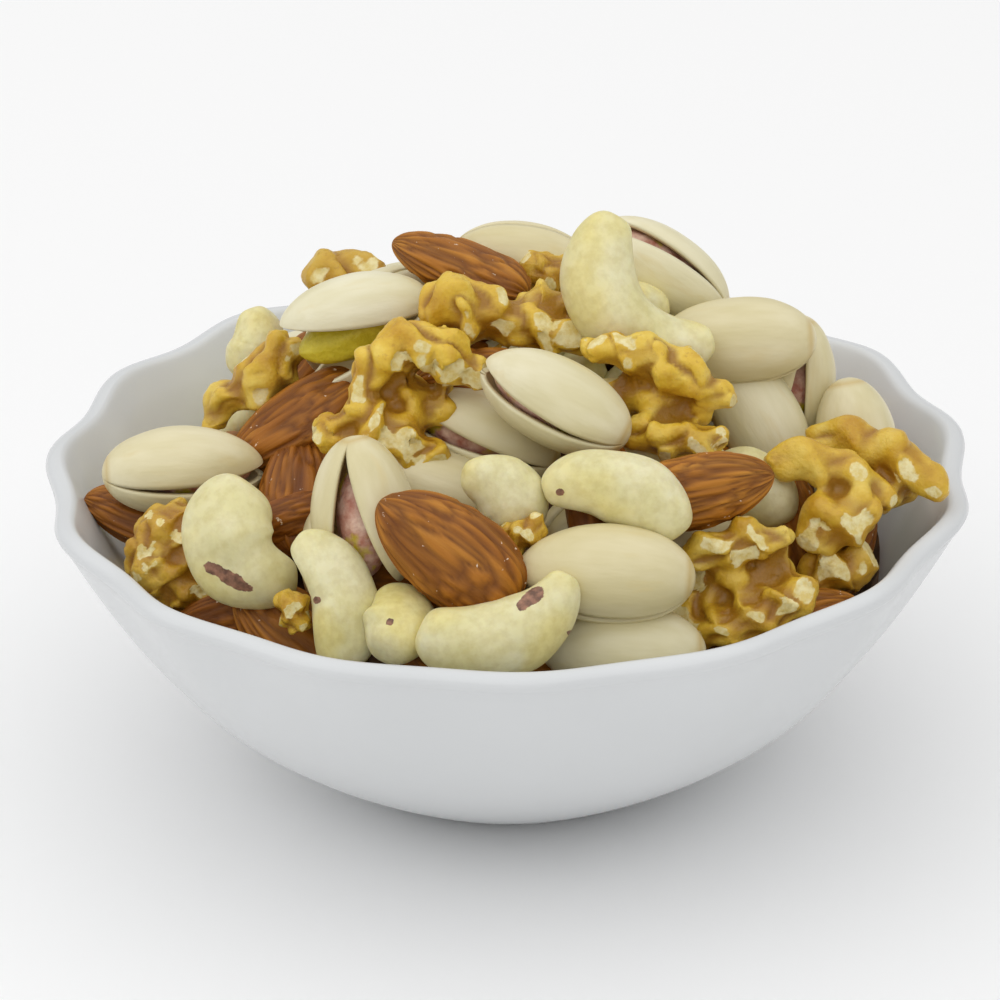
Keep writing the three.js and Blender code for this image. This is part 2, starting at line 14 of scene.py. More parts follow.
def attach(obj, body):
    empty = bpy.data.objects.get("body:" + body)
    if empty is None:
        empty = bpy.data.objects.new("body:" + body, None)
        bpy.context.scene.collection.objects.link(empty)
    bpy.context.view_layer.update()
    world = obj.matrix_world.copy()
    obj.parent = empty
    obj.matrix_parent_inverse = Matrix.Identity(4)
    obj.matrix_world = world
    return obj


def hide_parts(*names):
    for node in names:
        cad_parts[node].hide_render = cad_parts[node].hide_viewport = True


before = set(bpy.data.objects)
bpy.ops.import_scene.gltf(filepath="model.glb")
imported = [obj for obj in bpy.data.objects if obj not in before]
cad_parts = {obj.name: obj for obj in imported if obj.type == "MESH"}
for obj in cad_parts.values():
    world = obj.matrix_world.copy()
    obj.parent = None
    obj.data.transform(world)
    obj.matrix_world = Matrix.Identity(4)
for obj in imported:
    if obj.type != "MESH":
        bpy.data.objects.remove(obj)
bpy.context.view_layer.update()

MM = 0.001

# ------------------------ the bowl's dimensions
RIM_R = 70.0
RIM_Z = 48.5
CREST_Z = 49.9
WALL_T = 3.4
FOOT_R = 25.0
FOOT_RING_R = 21.5
FOOT_RECESS = 1.4
FLOOR_Z = 5.2
WALL_CURVE = np.array([(FOOT_R, 0.0), (51.6, 15.9), (55.8, 21.0), (69.1, 47.1)])
LOBES = 15
LOBE_PHASE = radians(8.3)
LOBE_DEPTH = 0.95
LOBE_RISE = 0.3
LOBE_FADE_Z = 12.0
BOWL_SIDES = 360
LIP_STEPS, OUTSIDE_STEPS, INSIDE_STEPS = 19, 34, 26

# ------------------------ the heap's dimensions
HEAP_EDGE_Z = 45.0
HEAP_PEAK = 35.5
HEAP_R = 60.0
HEAP_POWER = 1.65
HEAP_LEAN = (8.0, 7.0)
SOLID_CORE_DEPTH = 8.0  # of the CAD's core, under the nut centres
CORE_DEPTH = 21.0  # of the core here, just under the centres of the deepest nuts
CORE_R = 57.0
CORE_FOOT_Z = FLOOR_Z + 0.4
CORE_RISE = 30  # of its underside, from the middle to the edge

ALMOND = Values(length=24.0, width=13.0, thick=8.4)
PISTACHIO = Values(length=23.5, width=13.0, thick=12.2)
KERNEL = Values(length=17.0, width=9.2, thick=8.4)
SHELL_T = 0.9
SEAM = 0.14  # half the line that parts a shell's two halves
HINGE_IN = 2.5  # from the stem end
PARTED = 4  # degrees; a shell less open than this is closed
WIDE_OPEN = 28  # degrees; a kernel shows more green beyond this
MUCH_SKIN, LITTLE_SKIN = 0.6, 0.25
KERNEL_ALONG = 1.5  # from the shell's middle
DOME = Values(length=27.0, width=21.6, high=8.5, low=4.5, furrow=0.22, knobs=0.08)
CASHEWS = {
    "cashew": Values(straight=12.0, curl=0.12, thick=10.4, flat=0.88, taper=0.14),
    "cashew_stub": Values(straight=11.0, curl=0.055, thick=11.6, flat=0.9, taper=0.16),
}
END_SHORT, END_BLUNT, END_PUSH = 0.4, 0.62, 0.2  # how a cashew's ends are rounded

# How each kind's surface is uneven, in millimetres unless it is a share.
ALMOND_RELIEF = Values(smoothest=0.42, roughest=0.7, dents=0.34, blunt=0.74, point=0.32,
                       taper=0.14, varied=0.09)
ALMOND_STREAKS = Values(round=4.6, along=0.17, sway=0.25, bends=0.45)
CASHEW_RELIEF = Values(lumps=0.6, creases=0.26, flats=0.26, groove=0.08)
SHELL_RELIEF = Values(lumps=0.045, grain=0.008, scar_at=-10.8, scar_width=0.45)
KERNEL_RELIEF = Values(least=0.93, folds=0.09)
WALNUT_RELIEF = Values(folding=0.18, folds=1.15, wrinkles=0.26, lumps=0.5)
PLAIN_RELIEF = Values(folding=0.12, folds=0.8, wrinkles=0.12, lumps=0.35)
CHIPS_PER_MM2 = 0.0085
CHIP_DEPTHS = (0.15, 0.42)
FULL_CHIP = 0.24  # how deep a cut shows the pale inside in full
SOFTENED_OVER = 9  # mm2, to tell a walnut's ridges from its hollows

# Rings and sides of a nut's surface: of the near nuts, the others and the deep ones.
ALMOND_GRIDS = ((44, 100), (24, 52), (16, 28))
CASHEW_GRIDS = ((84, 68), (36, 28), (22, 18))
SHELL_GRIDS = ((46, 25), (26, 14), (16, 8))
KERNEL_GRIDS = ((40, 32), (20, 16))
DOME_GRID, ARM_GRID, CORE_GRID = (48, 60), (22, 24), (60, 120)
WALNUT_VOXELS = (0.56, 1.0, 1.2)

# Pieces of walnut as arms: (from, to, bow, radius, knobs), seen from +Z.
ARMS = {
    "walnut_chunk": [((-6, 0, 0), (6, 0, 0), (0, 2, 1), 4.4, 2)],
    "walnut_arch": [
        ((-8.4, 0, 0), (11, 0.8, 0), (0, 15, 1), 4.2, 4),
        ((-8.4, 0.8, 0), (6, -9.5, 0), (-3, -3, 1), 4.1, 3),
        ((-15, -6, -1), (-7, -7.5, -1), (0, 3, 0), 2.9, 2),
        ((-6, 1, -4), (7, -2, -4), (0, 0, 0), 4.6, 2),
    ],
    "walnut_ring": [
        ((-11, 6.5, 0), (12, -2, 0), (0, 5, 1), 3.7, 4),
        ((-5.5, -5, 0), (11.5, -6.5, 1), (0, -2, 1), 3.3, 3),
        ((-9, 1, -4), (9, -3, -4), (0, 0, 0), 4.2, 2),
    ],
    "walnut_long": [
        ((-11, 1.5, 0), (1, 0, 0), (0, 2, 2), 4.6, 2),
        ((-6, 1, -1), (12, -3.4, 0), (0, 2, 1), 3.6, 3),
        ((2, 3, -3), (10, 2, -3), (0, 0, 0), 3.2, 2),
    ],
    "walnut_ridges": [
        ((-8.5, 3.5, 0), (8.5, 6, 0), (0, 4, 1), 3.5, 3),
        ((-8, -7, 0), (10.8, 1.5, 0), (2, -3, 2), 3.9, 4),
        ((-9, -1, -3), (9, 3, -3), (0, 0, 0), 4, 2),
        ((-11, -3.5, -1), (-4, -7.5, -1), (0, 0, 0), 3, 2),
    ],
    "walnut_hook": [
        ((-5, -3.5, 0), (6.5, 1, 0), (0, 3, 2), 4.7, 2),
        ((-11, 9, -1), (9, 1.5, -2), (3, 5, 0), 3.4, 3),
    ],
    "walnut_lobe": [
        ((-11.5, 6, 0), (12.5, -4, 0), (3, 6, 1), 3.9, 3),
        ((-7, 1, -4), (7, -3, -4), (0, 0, 0), 4, 2),
    ],
    "walnut_bits": [
        ((-3, -4.5, 0), (4, 5, 0), (-2, 2, 1), 4.2, 2),
        ((-9.5, -7, -1), (0, 1, -1), (-2, 2, 0), 2.9, 2),
    ],
    "walnut_nub": [
        ((-4, 1.6, 0), (5, 1.4, 0), (0, 3, 0), 2.9, 2),
        ((-5.5, -2.4, -1), (5, -1.8, -1), (0, 0, 0), 3, 2),
    ],
}

# ------------------------ where the nuts lie
# The near nuts are placed by where they show in a square picture.
PICTURE = 1000  # pixels across
VIEW_ELEVATION = radians(26.13)
VIEW_DISTANCE = 710.0  # from the middle of the rim
VIEW_FOCAL = 4646.0  # pixels
VIEW_CENTRE = (508.0, 467.0)  # where the middle of the rim shows
VIEW_LEAN = radians(-0.6)

# (kind, across, down, turn, tip away, roll, size, opening or bend, lift), deepest first.
# across and down are pixels; turn is the bearing of the tip in the picture, anticlockwise
# from the right; lift is millimetres towards the eye.
NEAR_NUTS = [
    ("almond", 250, 628, 10, 0, 40, 1),
    ("almond", 800, 636, 20, 0, 30, 1, 0, -6),
    ("almond", 846, 560, 60, 20, 60, 0.75),
    ("almond", 420, 652, 150, 0, 60, 0.85),
    ("pistachio", 446, 494, -20, 0, 0, 0.95, 0),
    ("pistachio", 340, 560, 100, 20, 0, 0.9, 0),
    ("almond", 300, 640, 140, 0, 20, 1),
    ("almond", 790, 524, 100, 0, 40, 0.85),
    ("almond", 545, 590, 20, 0, 20, 1),
    ("cashew", 655, 456, 175, 0, 30, 1, 80),
    ("walnut_chunk", 290, 612, -70, 0, 0, 0.58, 0, -4),
    ("pistachio", 485, 437, 160, 0, 70, 1, 8),
    ("almond", 484, 380, 5, 0, 30, 0.85),
    ("walnut_chunk", 545, 279, 0, 0, 0, 0.85, 0, 2),
    ("pistachio", 526, 264, -6, 0, 25, 1, 0),
    ("cashew_stub", 254, 345, 80, 0, 0, 0.85, 60),
    ("walnut_nub", 340, 298, 0, 0, 0, 1.35, 0, 2),
    ("walnut_long", 500, 322, 0, 0, 0, 1.12, 0, 1),
    ("pistachio", 762, 424, -60, 0, 0, 1, 0),
    ("pistachio", 858, 450, -80, 0, 0, 0.95),
    ("pistachio", 790, 386, -98, 10, 80, 0.95, 14),
    ("walnut_bits", 274, 382, 0, 0, 0, 1.15),
    ("almond", 298, 496, 90, 40, 0, 0.95),
    ("almond", 306, 524, 20, 0, 50, 0.9),
    ("almond", 138, 520, 165, 0, 40, 1),
    ("almond", 294, 424, 213, 10, 50, 1, 0, 2),
    ("walnut_ring", 655, 394, 0, 0, 0, 1, 0, -2),
    ("walnut_arch", 408, 398, 0, 0, 0, 1),
    ("pistachio", 662, 272, 145, 0, -60, 1, 7, 3),
    ("pistachio", 735, 341, 182, 0, 20, 1.05),
    ("cashew", 635, 301, -52, 0, 0, 1.14, 135, 3),
    ("almond", 460, 268, 158, 10, 60, 0.94),
    ("pistachio", 360, 328, 203, 0, 65, 1, 30),
    ("pistachio", 556, 402, 153, 0, 56, 1.02, 5, -2),
    ("walnut_lobe", 872, 474, 0, -20, 0, 0.9, 0, 10),
    ("cashew_stub", 748, 490, 150, 0, 0, 0.95, 90),
    ("almond", 702, 490, 12, 0, 20, 0.9),
    ("walnut_chunk", 853, 577, 20, 0, 0, 1.02, 0, 2),
    ("walnut_hook", 835, 522, 0, 0, 0, 1, 0, 2),
    ("walnut_ridges", 738, 588, 0, 0, 0, 1, 0, 3),
    ("cashew_stub", 500, 496, 130, -20, 0, 0.95, 70),
    ("walnut_chunk", 525, 537, 30, 0, 0, 0.62),
    ("pistachio", 183, 471, 2, 0, -62, 1.04, 5),
    ("walnut_dome", 190, 566, -30, 0, 0, 0.82),
    ("pistachio", 363, 512, -84, 0, 112, 0.95, 26),
    ("cashew", 332, 598, 106, 0, 0, 1, 80, 3),
    ("cashew_stub", 396, 622, 85, 40, 0, 0.92, 50, 2),
    ("pistachio", 622, 650, 178, 0, 0, 1.04, 0),
    ("pistachio", 606, 574, 177, 0, 25, 1.1, 4),
    ("cashew", 617, 496, 162, 0, 0, 1.1, 72),
    ("almond", 447, 553, 143, 0, 0, 1.02),
    ("cashew", 502, 624, 20, 0, 0, 1.14, 88),
    ("cashew_stub", 247, 545, -64, 0, 0, 1.2, 125),
]

# The other nuts: (radius, how many are tried) round the whole heap.
SEED = 20
RINGS = [(57, 34), (50, 31), (43, 27), (36, 22), (28, 17), (20, 12), (11, 6)]
BALL_SHARE = 0.92  # a ball's radius, as a share of the nut's half width there
NEAR_SINK = 1.4  # how far the near nuts press into each other, as balls
SINK = 2.4  # and the others
TOUCH = 1.2  # and the least that the others do
WALL_GAP = 0.8  # between a ball and the bowl's inside
STEP = 0.5  # by which a nut is moved until it fits
NEAR_REACH, REACH = 16, 12  # how far a near nut is moved at most, and another
FAR_FROM = -28.0  # beyond this, measured along the eye's look, is the far side
UNDER = 4.0  # on the near side they lie at least this far under the surface
OTHER_KINDS = ["almond", "cashew", "pistachio", "walnut_hook", "pistachio", "almond",
               "cashew", "pistachio"]
LEAST_SIZE, SIZE_SPREAD = 0.92, 0.12
TIP_SPREAD, ROLL_SPREAD = 24, 120  # degrees, half of them to each side
OPEN_SHARE = 0.35  # of the pistachios

# Nuts deeper than the CAD's nuts, where its core is solid, to fill the gaps between them.
DEEP_RINGS = [(55, 50), (50, 44), (44, 38), (37, 30), (29, 24), (21, 17), (13, 10), (5, 4)]
DEEP_LAYERS = [(6.0, 3.0), (10.5, 4.2), (15.0, 4.8), (19.0, 5.0)]  # how deep, and the sink
BEHIND = 0.8  # share of two balls' radii within which they overlap in the picture

LOOK = np.array((0.0, cos(VIEW_ELEVATION), -sin(VIEW_ELEVATION)))
LEVEL = np.array((1.0, 0.0, 0.0))
UPRIGHT = np.cross(LEVEL, LOOK)
ACROSS = LEVEL * cos(VIEW_LEAN) + UPRIGHT * sin(VIEW_LEAN)
UPWARD = UPRIGHT * cos(VIEW_LEAN) - LEVEL * sin(VIEW_LEAN)
EYE = np.array((0.0, 0.0, RIM_Z)) - LOOK * VIEW_DISTANCE


def unit(v):
    return v / np.linalg.norm(v, axis=-1, keepdims=True)


def wall_points(t, inset):
    """Points (radius, height) on the wall, `inset` in from the outside."""
    a, b, c, d = WALL_CURVE
    t = np.asarray(t, float)[..., None]
    at = (1 - t) ** 3 * a + 3 * (1 - t) ** 2 * t * b + 3 * (1 - t) * t * t * c + t ** 3 * d
    way = (1 - t) ** 2 * (b - a) + 2 * (1 - t) * t * (c - b) + t * t * (d - c)
    return at + inset * unit(np.stack((-way[..., 1], way[..., 0]), -1))


INSIDE_WALL = wall_points(np.arange(40) / 39, WALL_T)


def inside_radius(z):
    """Radius of the bowl's inside at a height."""
    return RIM_R - WALL_T if z >= RIM_Z else np.interp(z, INSIDE_WALL[:, 1], INSIDE_WALL[:, 0])


def heap_z(x, y):
    """Height of the nut centres over a place in plan."""
    k = max(0.0, 1 - hypot(x, y) / HEAP_R)
    rho = hypot(x - HEAP_LEAN[0] * k, y - HEAP_LEAN[1] * k)
    return HEAP_EDGE_Z + HEAP_PEAK * (1 - (rho / HEAP_R) ** HEAP_POWER)


def sight(px, py):
    """Direction from the eye to a pixel."""
    right = (px - VIEW_CENTRE[0]) / VIEW_FOCAL
    up = (VIEW_CENTRE[1] - py) / VIEW_FOCAL
    return unit(LOOK + ACROSS * right + UPWARD * up)


def on_heap(px, py):
    """Where that line meets the heap, or passes closest over it."""
    way = sight(px, py)
    best = (1e9, None)
    for step in range(160):
        p = EYE + way * (VIEW_DISTANCE - 90 + step)
        over = p[2] - heap_z(p[0], p[1]) if hypot(p[0], p[1]) < HEAP_R + 4 else 99
        if over <= 0:
            return p
        if over < best[0]:
            best = (over, p)
    return best[1]


def turned_by(x, y, z, tip_away, roll, size):
    """A 3 x 3 matrix: the axes x, y, z, then the tip turned away, then the roll."""
    a, b = radians(tip_away), radians(roll)
    tip = np.array(((cos(a), 0, sin(a)), (0, 1, 0), (-sin(a), 0, cos(a))))
    rolled = np.array(((1, 0, 0), (0, cos(b), -sin(b)), (0, sin(b), cos(b))))
    return np.stack((x, y, z), 1) @ tip @ rolled * size


def spine(arm, t):
    """Points along an arm of walnut, and its direction there."""
    start, end, bow = (np.array(v, float) for v in arm[:3])
    middle = (start + end) / 2 + bow
    t = np.asarray(t, float)[..., None]
    points = (1 - t) ** 2 * start + 2 * (1 - t) * t * middle + t * t * end
    return points, 2 * (1 - t) * (middle - start) + 2 * t * (end - middle)


def cashew_frame(shape, bend, theta):
    """Centre of a cashew's section, its outward direction and half its width."""
    length = shape.straight + shape.curl * bend - END_SHORT * shape.thick
    radius = length / radians(bend)
    sag = radius * (1 - cos(radians(bend) / 2)) / 2
    beta = -np.cos(theta) * radians(bend) / 2
    taper = 1 + shape.taper * np.cos(theta)
    swell = shape.thick / 2 * np.sin(theta) ** END_BLUNT * taper
    outward = np.stack((np.sin(beta), -np.cos(beta), 0 * beta), -1)
    onward = np.stack((np.cos(beta), np.sin(beta), 0 * beta), -1)
    centre = radius * outward + np.array((0, radius - sag, 0))
    pushed = END_PUSH * shape.thick * np.cos(theta)[..., None] ** 3 * onward
    return centre - pushed, outward, swell


def nut_balls(kind, bent):
    """Balls (x, y, z, radius) that stand in for a nut while it is settled."""
    if kind == "almond":
        rows = [(-4.4, 2.2, 4.1), (0, 2.4, 4.2), (4.3, 1.5, 3.7)]
        sides = [(x, w * y, 0, r) for w in (-1, 1) for x, y, r in rows]
        return np.array([(-8.2, 0, 0, 3.5), (8.2, 0, 0, 2.8), *sides])
    if kind in CASHEWS:
        theta = pi * np.array((0.12, 0.27, 0.42, 0.58, 0.73, 0.88))
        centre, _, swell = cashew_frame(CASHEWS[kind], bent, theta)
        return np.column_stack((centre, swell * BALL_SHARE))
    if kind == "pistachio":
        balls = []
        for x, r in zip((-7.5, -3.8, 0, 3.8, 7.4, 10), (4.4, 5.7, 6.1, 5.5, 4.1, 2.4)):
            spread = (x + 9) * sin(radians(bent) / 2) if bent >= PARTED else 0
            ways = (spread, -spread) if spread > 0 else (0,)
            balls += [(x, 0, z, r) for z in ways]
        return np.array(balls)
    if kind == "walnut_dome":
        return np.array([(x, w * 4.4, 1.2, 5.2) for x in (-8.5, -3, 3, 8.5) for w in (-1, 1)])
    along = (1 - np.cos(pi * np.array((0.2, 0.4, 0.6, 0.8)))) / 2
    rows = [np.column_stack((spine(arm, along)[0], np.full(4, arm[3] * BALL_SHARE)))
            for arm in ARMS[kind]]
    return np.vstack(rows)


def placed(nut, points):
    return points @ nut.turned.T + nut.place


def placed_balls(nut):
    balls = nut_balls(nut.kind, nut.bent)
    return np.column_stack((placed(nut, balls[:, :3]), balls[:, 3] * nut.size))


class Heap:
    """The nuts laid so far, and their balls."""

    def __init__(self):
        self.nuts = []
        self.balls = np.empty((0, 4))

    def add(self, nut):
        self.nuts.append(nut)
        self.balls = np.vstack((self.balls, placed_balls(nut)))


def meet(balls, others, sink):
    """Whether `balls` press further than `sink` into the others."""
    apart = np.linalg.norm(balls[:, None, :3] - others[None, :, :3], axis=2)
    return bool((apart < balls[:, None, 3] + others[None, :, 3] - sink).any())


def push_off_wall(nut, rounds):
    """Moves a nut in from the bowl's wall, each time by as much as a ball reaches past it."""
    for _ in range(rounds):
        push = np.zeros(3)
        for x, y, z, r in placed_balls(nut):
            out = hypot(x, y)
            over = out + r - inside_radius(z) + WALL_GAP if z < CREST_Z + r else 0
            if over > np.linalg.norm(push):
                push = np.array((-x, -y, 0)) * over / out
        nut.place = nut.place + push


def settle(nut, way, reach, barred):
    """Moves a nut along `way` until it isn't `barred`, within `reach`."""
    gone = 0.0
    while gone < reach and barred(placed_balls(nut)):
        nut.place = nut.place + way * STEP
        gone += STEP
    push_off_wall(nut, 4)


def place_near(heap):
    """The near nuts, from the topmost: each goes back until it is behind the others."""
    for kind, px, py, turn, tip_away, roll, size, *rest in reversed(NEAR_NUTS):
        bent, lift = (rest + [0, 0])[:2]
        way = sight(px, py)
        x = ACROSS * cos(radians(turn)) + UPWARD * sin(radians(turn))
        turned = turned_by(x, np.cross(-LOOK, x), -LOOK, tip_away, roll, size)
        place = on_heap(px, py) - way * lift
        nut = Values(kind=kind, size=size, bent=bent, level=0, turned=turned, place=place)
        settle(nut, way, NEAR_REACH, lambda balls: meet(balls, heap.balls, NEAR_SINK))
        heap.add(nut)


def shows_over(near_balls, balls):
    """Whether any of `balls` would stand over the near nuts' outline in the picture."""
    near_u = near_balls[:, :3] @ ACROSS
    near_v = near_balls[:, :3] @ UPWARD
    margin = 0.3
    for x, y, z, r in balls:
        centre = np.array((x, y, z))
        for k in (-0.7, 0, 0.7):
            off = np.abs(near_u - (centre @ ACROSS + k * r))
            under = off < near_balls[:, 3]
            rise = np.sqrt(near_balls[under, 3] ** 2 - off[under] ** 2)
            skyline = (near_v[under] + rise).max(initial=-99)
            if centre @ UPWARD + r * sqrt(1 - k * k) > skyline - margin:
                return True
    return False


def random_from(seed):
    """The same small generator of numbers from 0 to 1 that the solids use."""
    state = seed
    while True:
        state = state * 48271 % 2147483647
        yield state / 2147483647


def other_bend(kind, chance):
    """Degrees that a cashew is bent or a pistachio is open."""
    if kind in CASHEWS:
        return 70 + 40 * chance
    return 10 + 40 * chance if kind == "pistachio" and chance < OPEN_SHARE else 0


def lie_on_heap(chance, radius, i, count):
    """A nut of a chance kind that lies on the heap's surface, and the way straight out."""
    bearing = 2 * pi * (i + 0.35 * next(chance)) / count + radius
    x, y = radius * cos(bearing), radius * sin(bearing)
    kind = OTHER_KINDS[int(next(chance) * len(OTHER_KINDS))]
    size = LEAST_SIZE + SIZE_SPREAD * next(chance)
    bent = other_bend(kind, next(chance))
    out = unit(np.array((heap_z(x - 1, y) - heap_z(x + 1, y),
                         heap_z(x, y - 1) - heap_z(x, y + 1), 2)))
    heading = 2 * pi * next(chance)
    flat = np.array((cos(heading), sin(heading), 0))
    along = unit(flat - out * (flat @ out))
    tip = TIP_SPREAD * (next(chance) - 0.5)
    roll = ROLL_SPREAD * (next(chance) - 0.5)
    turned = turned_by(along, np.cross(out, along), out, tip, roll, size)
    place = np.array((x, y, heap_z(x, y)))
    return Values(kind=kind, size=size, bent=bent, level=1, turned=turned, place=place), out


def round_heap(chance, rings):
    """Nuts of chance kinds in rings on the heap's surface, each with the way straight out."""
    for radius, count in rings:
        for i in range(count):
            yield lie_on_heap(chance, radius, i, count)


def place_others(heap, near_balls):
    """Nuts of the far side, and those that lie under the near ones and show between them."""
    chance = random_from(SEED)
    core_depth = SOLID_CORE_DEPTH + TOUCH

    def barred(balls):
        far = bool((balls[:, :3] @ LOOK > FAR_FROM).all())
        under = all(heap_z(x, y) - z > UNDER for x, y, z, _ in balls)
        pressed = meet(balls, heap.balls, SINK)
        return pressed or shows_over(near_balls, balls) or not (far or under)

    for nut, out in round_heap(chance, RINGS):
        settle(nut, -out, REACH, barred)
        balls = placed_balls(nut)
        on_core = any(z - r < heap_z(x, y) - core_depth for x, y, z, r in balls)
        if not barred(balls) and (on_core or meet(balls, heap.balls, TOUCH)):
            heap.add(nut)


def in_front(near_balls, balls):
    """Whether any of `balls` stands before a near nut in the picture."""
    u, v, d = (balls[:, None, :3] @ axis - near_balls[None, :, :3] @ axis
               for axis in (ACROSS, UPWARD, LOOK))
    reach = BEHIND * (balls[:, None, 3] + near_balls[None, :, 3])
    return bool(((np.hypot(u, v) < reach) & (d < 0)).any())


def place_deep(heap, near_balls):
    """Nuts within the CAD's core, so that a gap shows more nuts and not a plain floor."""
    chance = random_from(SEED + 1)
    for depth, sink in DEEP_LAYERS:
        for nut, out in round_heap(chance, DEEP_RINGS):
            nut.level = 2
            nut.bent = 0 if nut.kind == "pistachio" else nut.bent
            nut.place = nut.place - out * depth
            push_off_wall(nut, 3)
            balls = placed_balls(nut)
            pressed = meet(balls, heap.balls, sink) or meet(balls, near_balls, SINK)
            if not (pressed or in_front(near_balls, balls)):
                heap.add(nut)


def lay_nuts():
    heap = Heap()
    place_near(heap)
    near_balls = heap.balls
    place_others(heap, near_balls)
    place_deep(heap, near_balls)
    for i, nut in enumerate(heap.nuts):
        nut.number = i
    return heap.nuts


# ------------------------ making surfaces
def hashed(cell, seed):
    """Three numbers from -1 to 1 for each cell of a grid of cubes."""
    n = (cell[..., 0] * 73856093) ^ (cell[..., 1] * 19349663) ^ (cell[..., 2] * 83492791)
    n = (n + seed * 40503) & 0x7FFFFFFF
    n = ((n ^ (n >> 15)) * 2246822519) & 0x7FFFFFFF
    n = ((n ^ (n >> 13)) * 1274126177) & 0x7FFFFFFF
    return np.stack([(n >> shift) & 1023 for shift in (0, 10, 20)], -1) / 511.5 - 1


def rough(points, scale, seed=0):
    """Smooth noise, about -1 to 1, with lumps about 1 / scale across."""
    p = np.asarray(points) * scale
    cell = np.floor(p).astype(np.int64)
    f = p - cell
    w = f * f * f * (f * (f * 6 - 15) + 10)
    total = np.zeros(p.shape[:-1])
    for corner in np.ndindex(2, 2, 2):
        c = np.array(corner)
        share = np.prod(np.where(c, w, 1 - w), axis=-1)
        total += share * np.sum(hashed(cell + c, seed) * (f - c), axis=-1)
    return total * 1.3


def creased(points, scale, seed=0):
    """Ridges with sharp valleys between: 1 on a ridge, 0 in a valley."""
    return np.minimum(1, 2.6 * np.abs(rough(points, scale, seed)))


def smooth(value, low, high):
    """0 up to `low`, 1 from `high`, and a smooth rise between."""
    t = np.clip((np.asarray(value) - low) / (high - low), 0, 1)
    return t * t * (3 - 2 * t)


def grid_faces(rows, sides):
    """Quads between rows of points, each row a loop."""
    i = np.arange(rows - 1)[:, None] * sides
    j = np.arange(sides)[None, :]
    k = (j + 1) % sides
    return np.stack((i + j, i + k, i + sides + k, i + sides + j), -1).reshape(-1, 4).tolist()


def capped_faces(rows, sides):
    """Those quads, and triangles to the two points after the rows, which close the ends."""
    first_end, last_row = rows * sides, (rows - 1) * sides
    j = np.arange(sides)
    k = (j + 1) % sides
    near_cap = np.stack((np.full(sides, first_end), k, j), -1)
    far_cap = np.stack((np.full(sides, first_end + 1), last_row + j, last_row + k), -1)
    return grid_faces(rows, sides) + near_cap.tolist() + far_cap.tolist()


def turn_outward(points, faces):
    """Turns the faces over if they point inwards."""
    a, b, c = (points[[f[i] for f in faces]] for i in range(3))
    if np.sum(a * np.cross(b, c)) < 0:
        for f in faces:
            f.reverse()


def closed_grid(form, rings, sides):
    """Points, faces and angles of a surface closed by a point at each end.

    form gives the points for theta, which runs from end to end, and phi, which runs round."""
    theta, phi = np.meshgrid(pi * np.arange(1, rings) / rings,
                             2 * pi * np.arange(sides) / sides, indexing="ij")
    ends = [form(np.array([t]), np.array([0.0])) for t in (0.0, pi)]
    points = np.vstack((form(theta, phi).reshape(-1, 3), *ends))
    faces = capped_faces(rings - 1, sides)
    turn_outward(points, faces)
    angles = np.column_stack((np.append(theta.ravel(), (0, pi)), np.append(phi.ravel(), (0, 0))))
    return points, faces, angles


def linked(name, data):
    """A new object in the scene."""
    obj = bpy.data.objects.new(name, data)
    bpy.context.scene.collection.objects.link(obj)
    return obj


class Piece:
    """The points, faces and traits of everything that goes into one piece.

    The materials read the traits: grain places the noise, shade is lighter or darker from
    nut to nut, mark is a scrap, an inside or a broken face, and the fourth darkens grooves,
    folds and seams as painted shade, and marks a pistachio's stem scar."""

    def __init__(self, name):
        self.name = name
        self.points = []
        self.faces = []
        self.traits = {"grain": [], "shade": [], "mark": [], "hollow": []}
        self.count = 0

    def add(self, points, faces, grain, shade=0.5, mark=0.0, hollow=0.0):
        n = len(points)
        self.points.append(points)
        self.faces += [[v + self.count for v in f] for f in faces]
        self.traits["grain"].append(grain)
        for name, value in (("shade", shade), ("mark", mark), ("hollow", hollow)):
            self.traits[name].append(np.broadcast_to(value, n))
        self.count += n

    def made(self, material):
        mesh = bpy.data.meshes.new(self.name)
        mesh.from_pydata((np.vstack(self.points) * MM).tolist(), [], self.faces)
        for name, rows in self.traits.items():
            kind, field = ("FLOAT_VECTOR", "vector") if name == "grain" else ("FLOAT", "value")
            layer = mesh.attributes.new(name, kind, "POINT")
            layer.data.foreach_set(field, np.concatenate(rows).astype(np.float32).ravel())
        mesh.shade_smooth()
        mesh.materials.append(material)
        return linked(self.name, mesh)


# ------------------------ the nuts, one by one
def pixels(points):
    """Where points show in the picture."""
    d = points - EYE
    depth = d @ LOOK
    return (VIEW_CENTRE[0] + VIEW_FOCAL * (d @ ACROSS) / depth,
            VIEW_CENTRE[1] - VIEW_FOCAL * (d @ UPWARD) / depth)


def shift_of(nut):
    """An offset that gives each nut its own noise."""
    n = nut.number
    return np.array((17.3 * n, 9.1 * n, 5.7 * n))


def shade_of(nut):
    """How light a nut is among its kind, 0 to 1."""
    return random.Random(nut.number * 7 + 3).random()


def almond_grain(phi, x):
    """Coordinates for an almond's wrinkles, which run along it."""
    streaks = ALMOND_STREAKS
    around = np.stack((np.cos(phi), np.sin(phi)), -1) * streaks.round
    sway = streaks.sway * np.sin(streaks.bends * x + 2 * phi)
    return np.concatenate((around, (streaks.along * x + sway)[..., None]), -1)


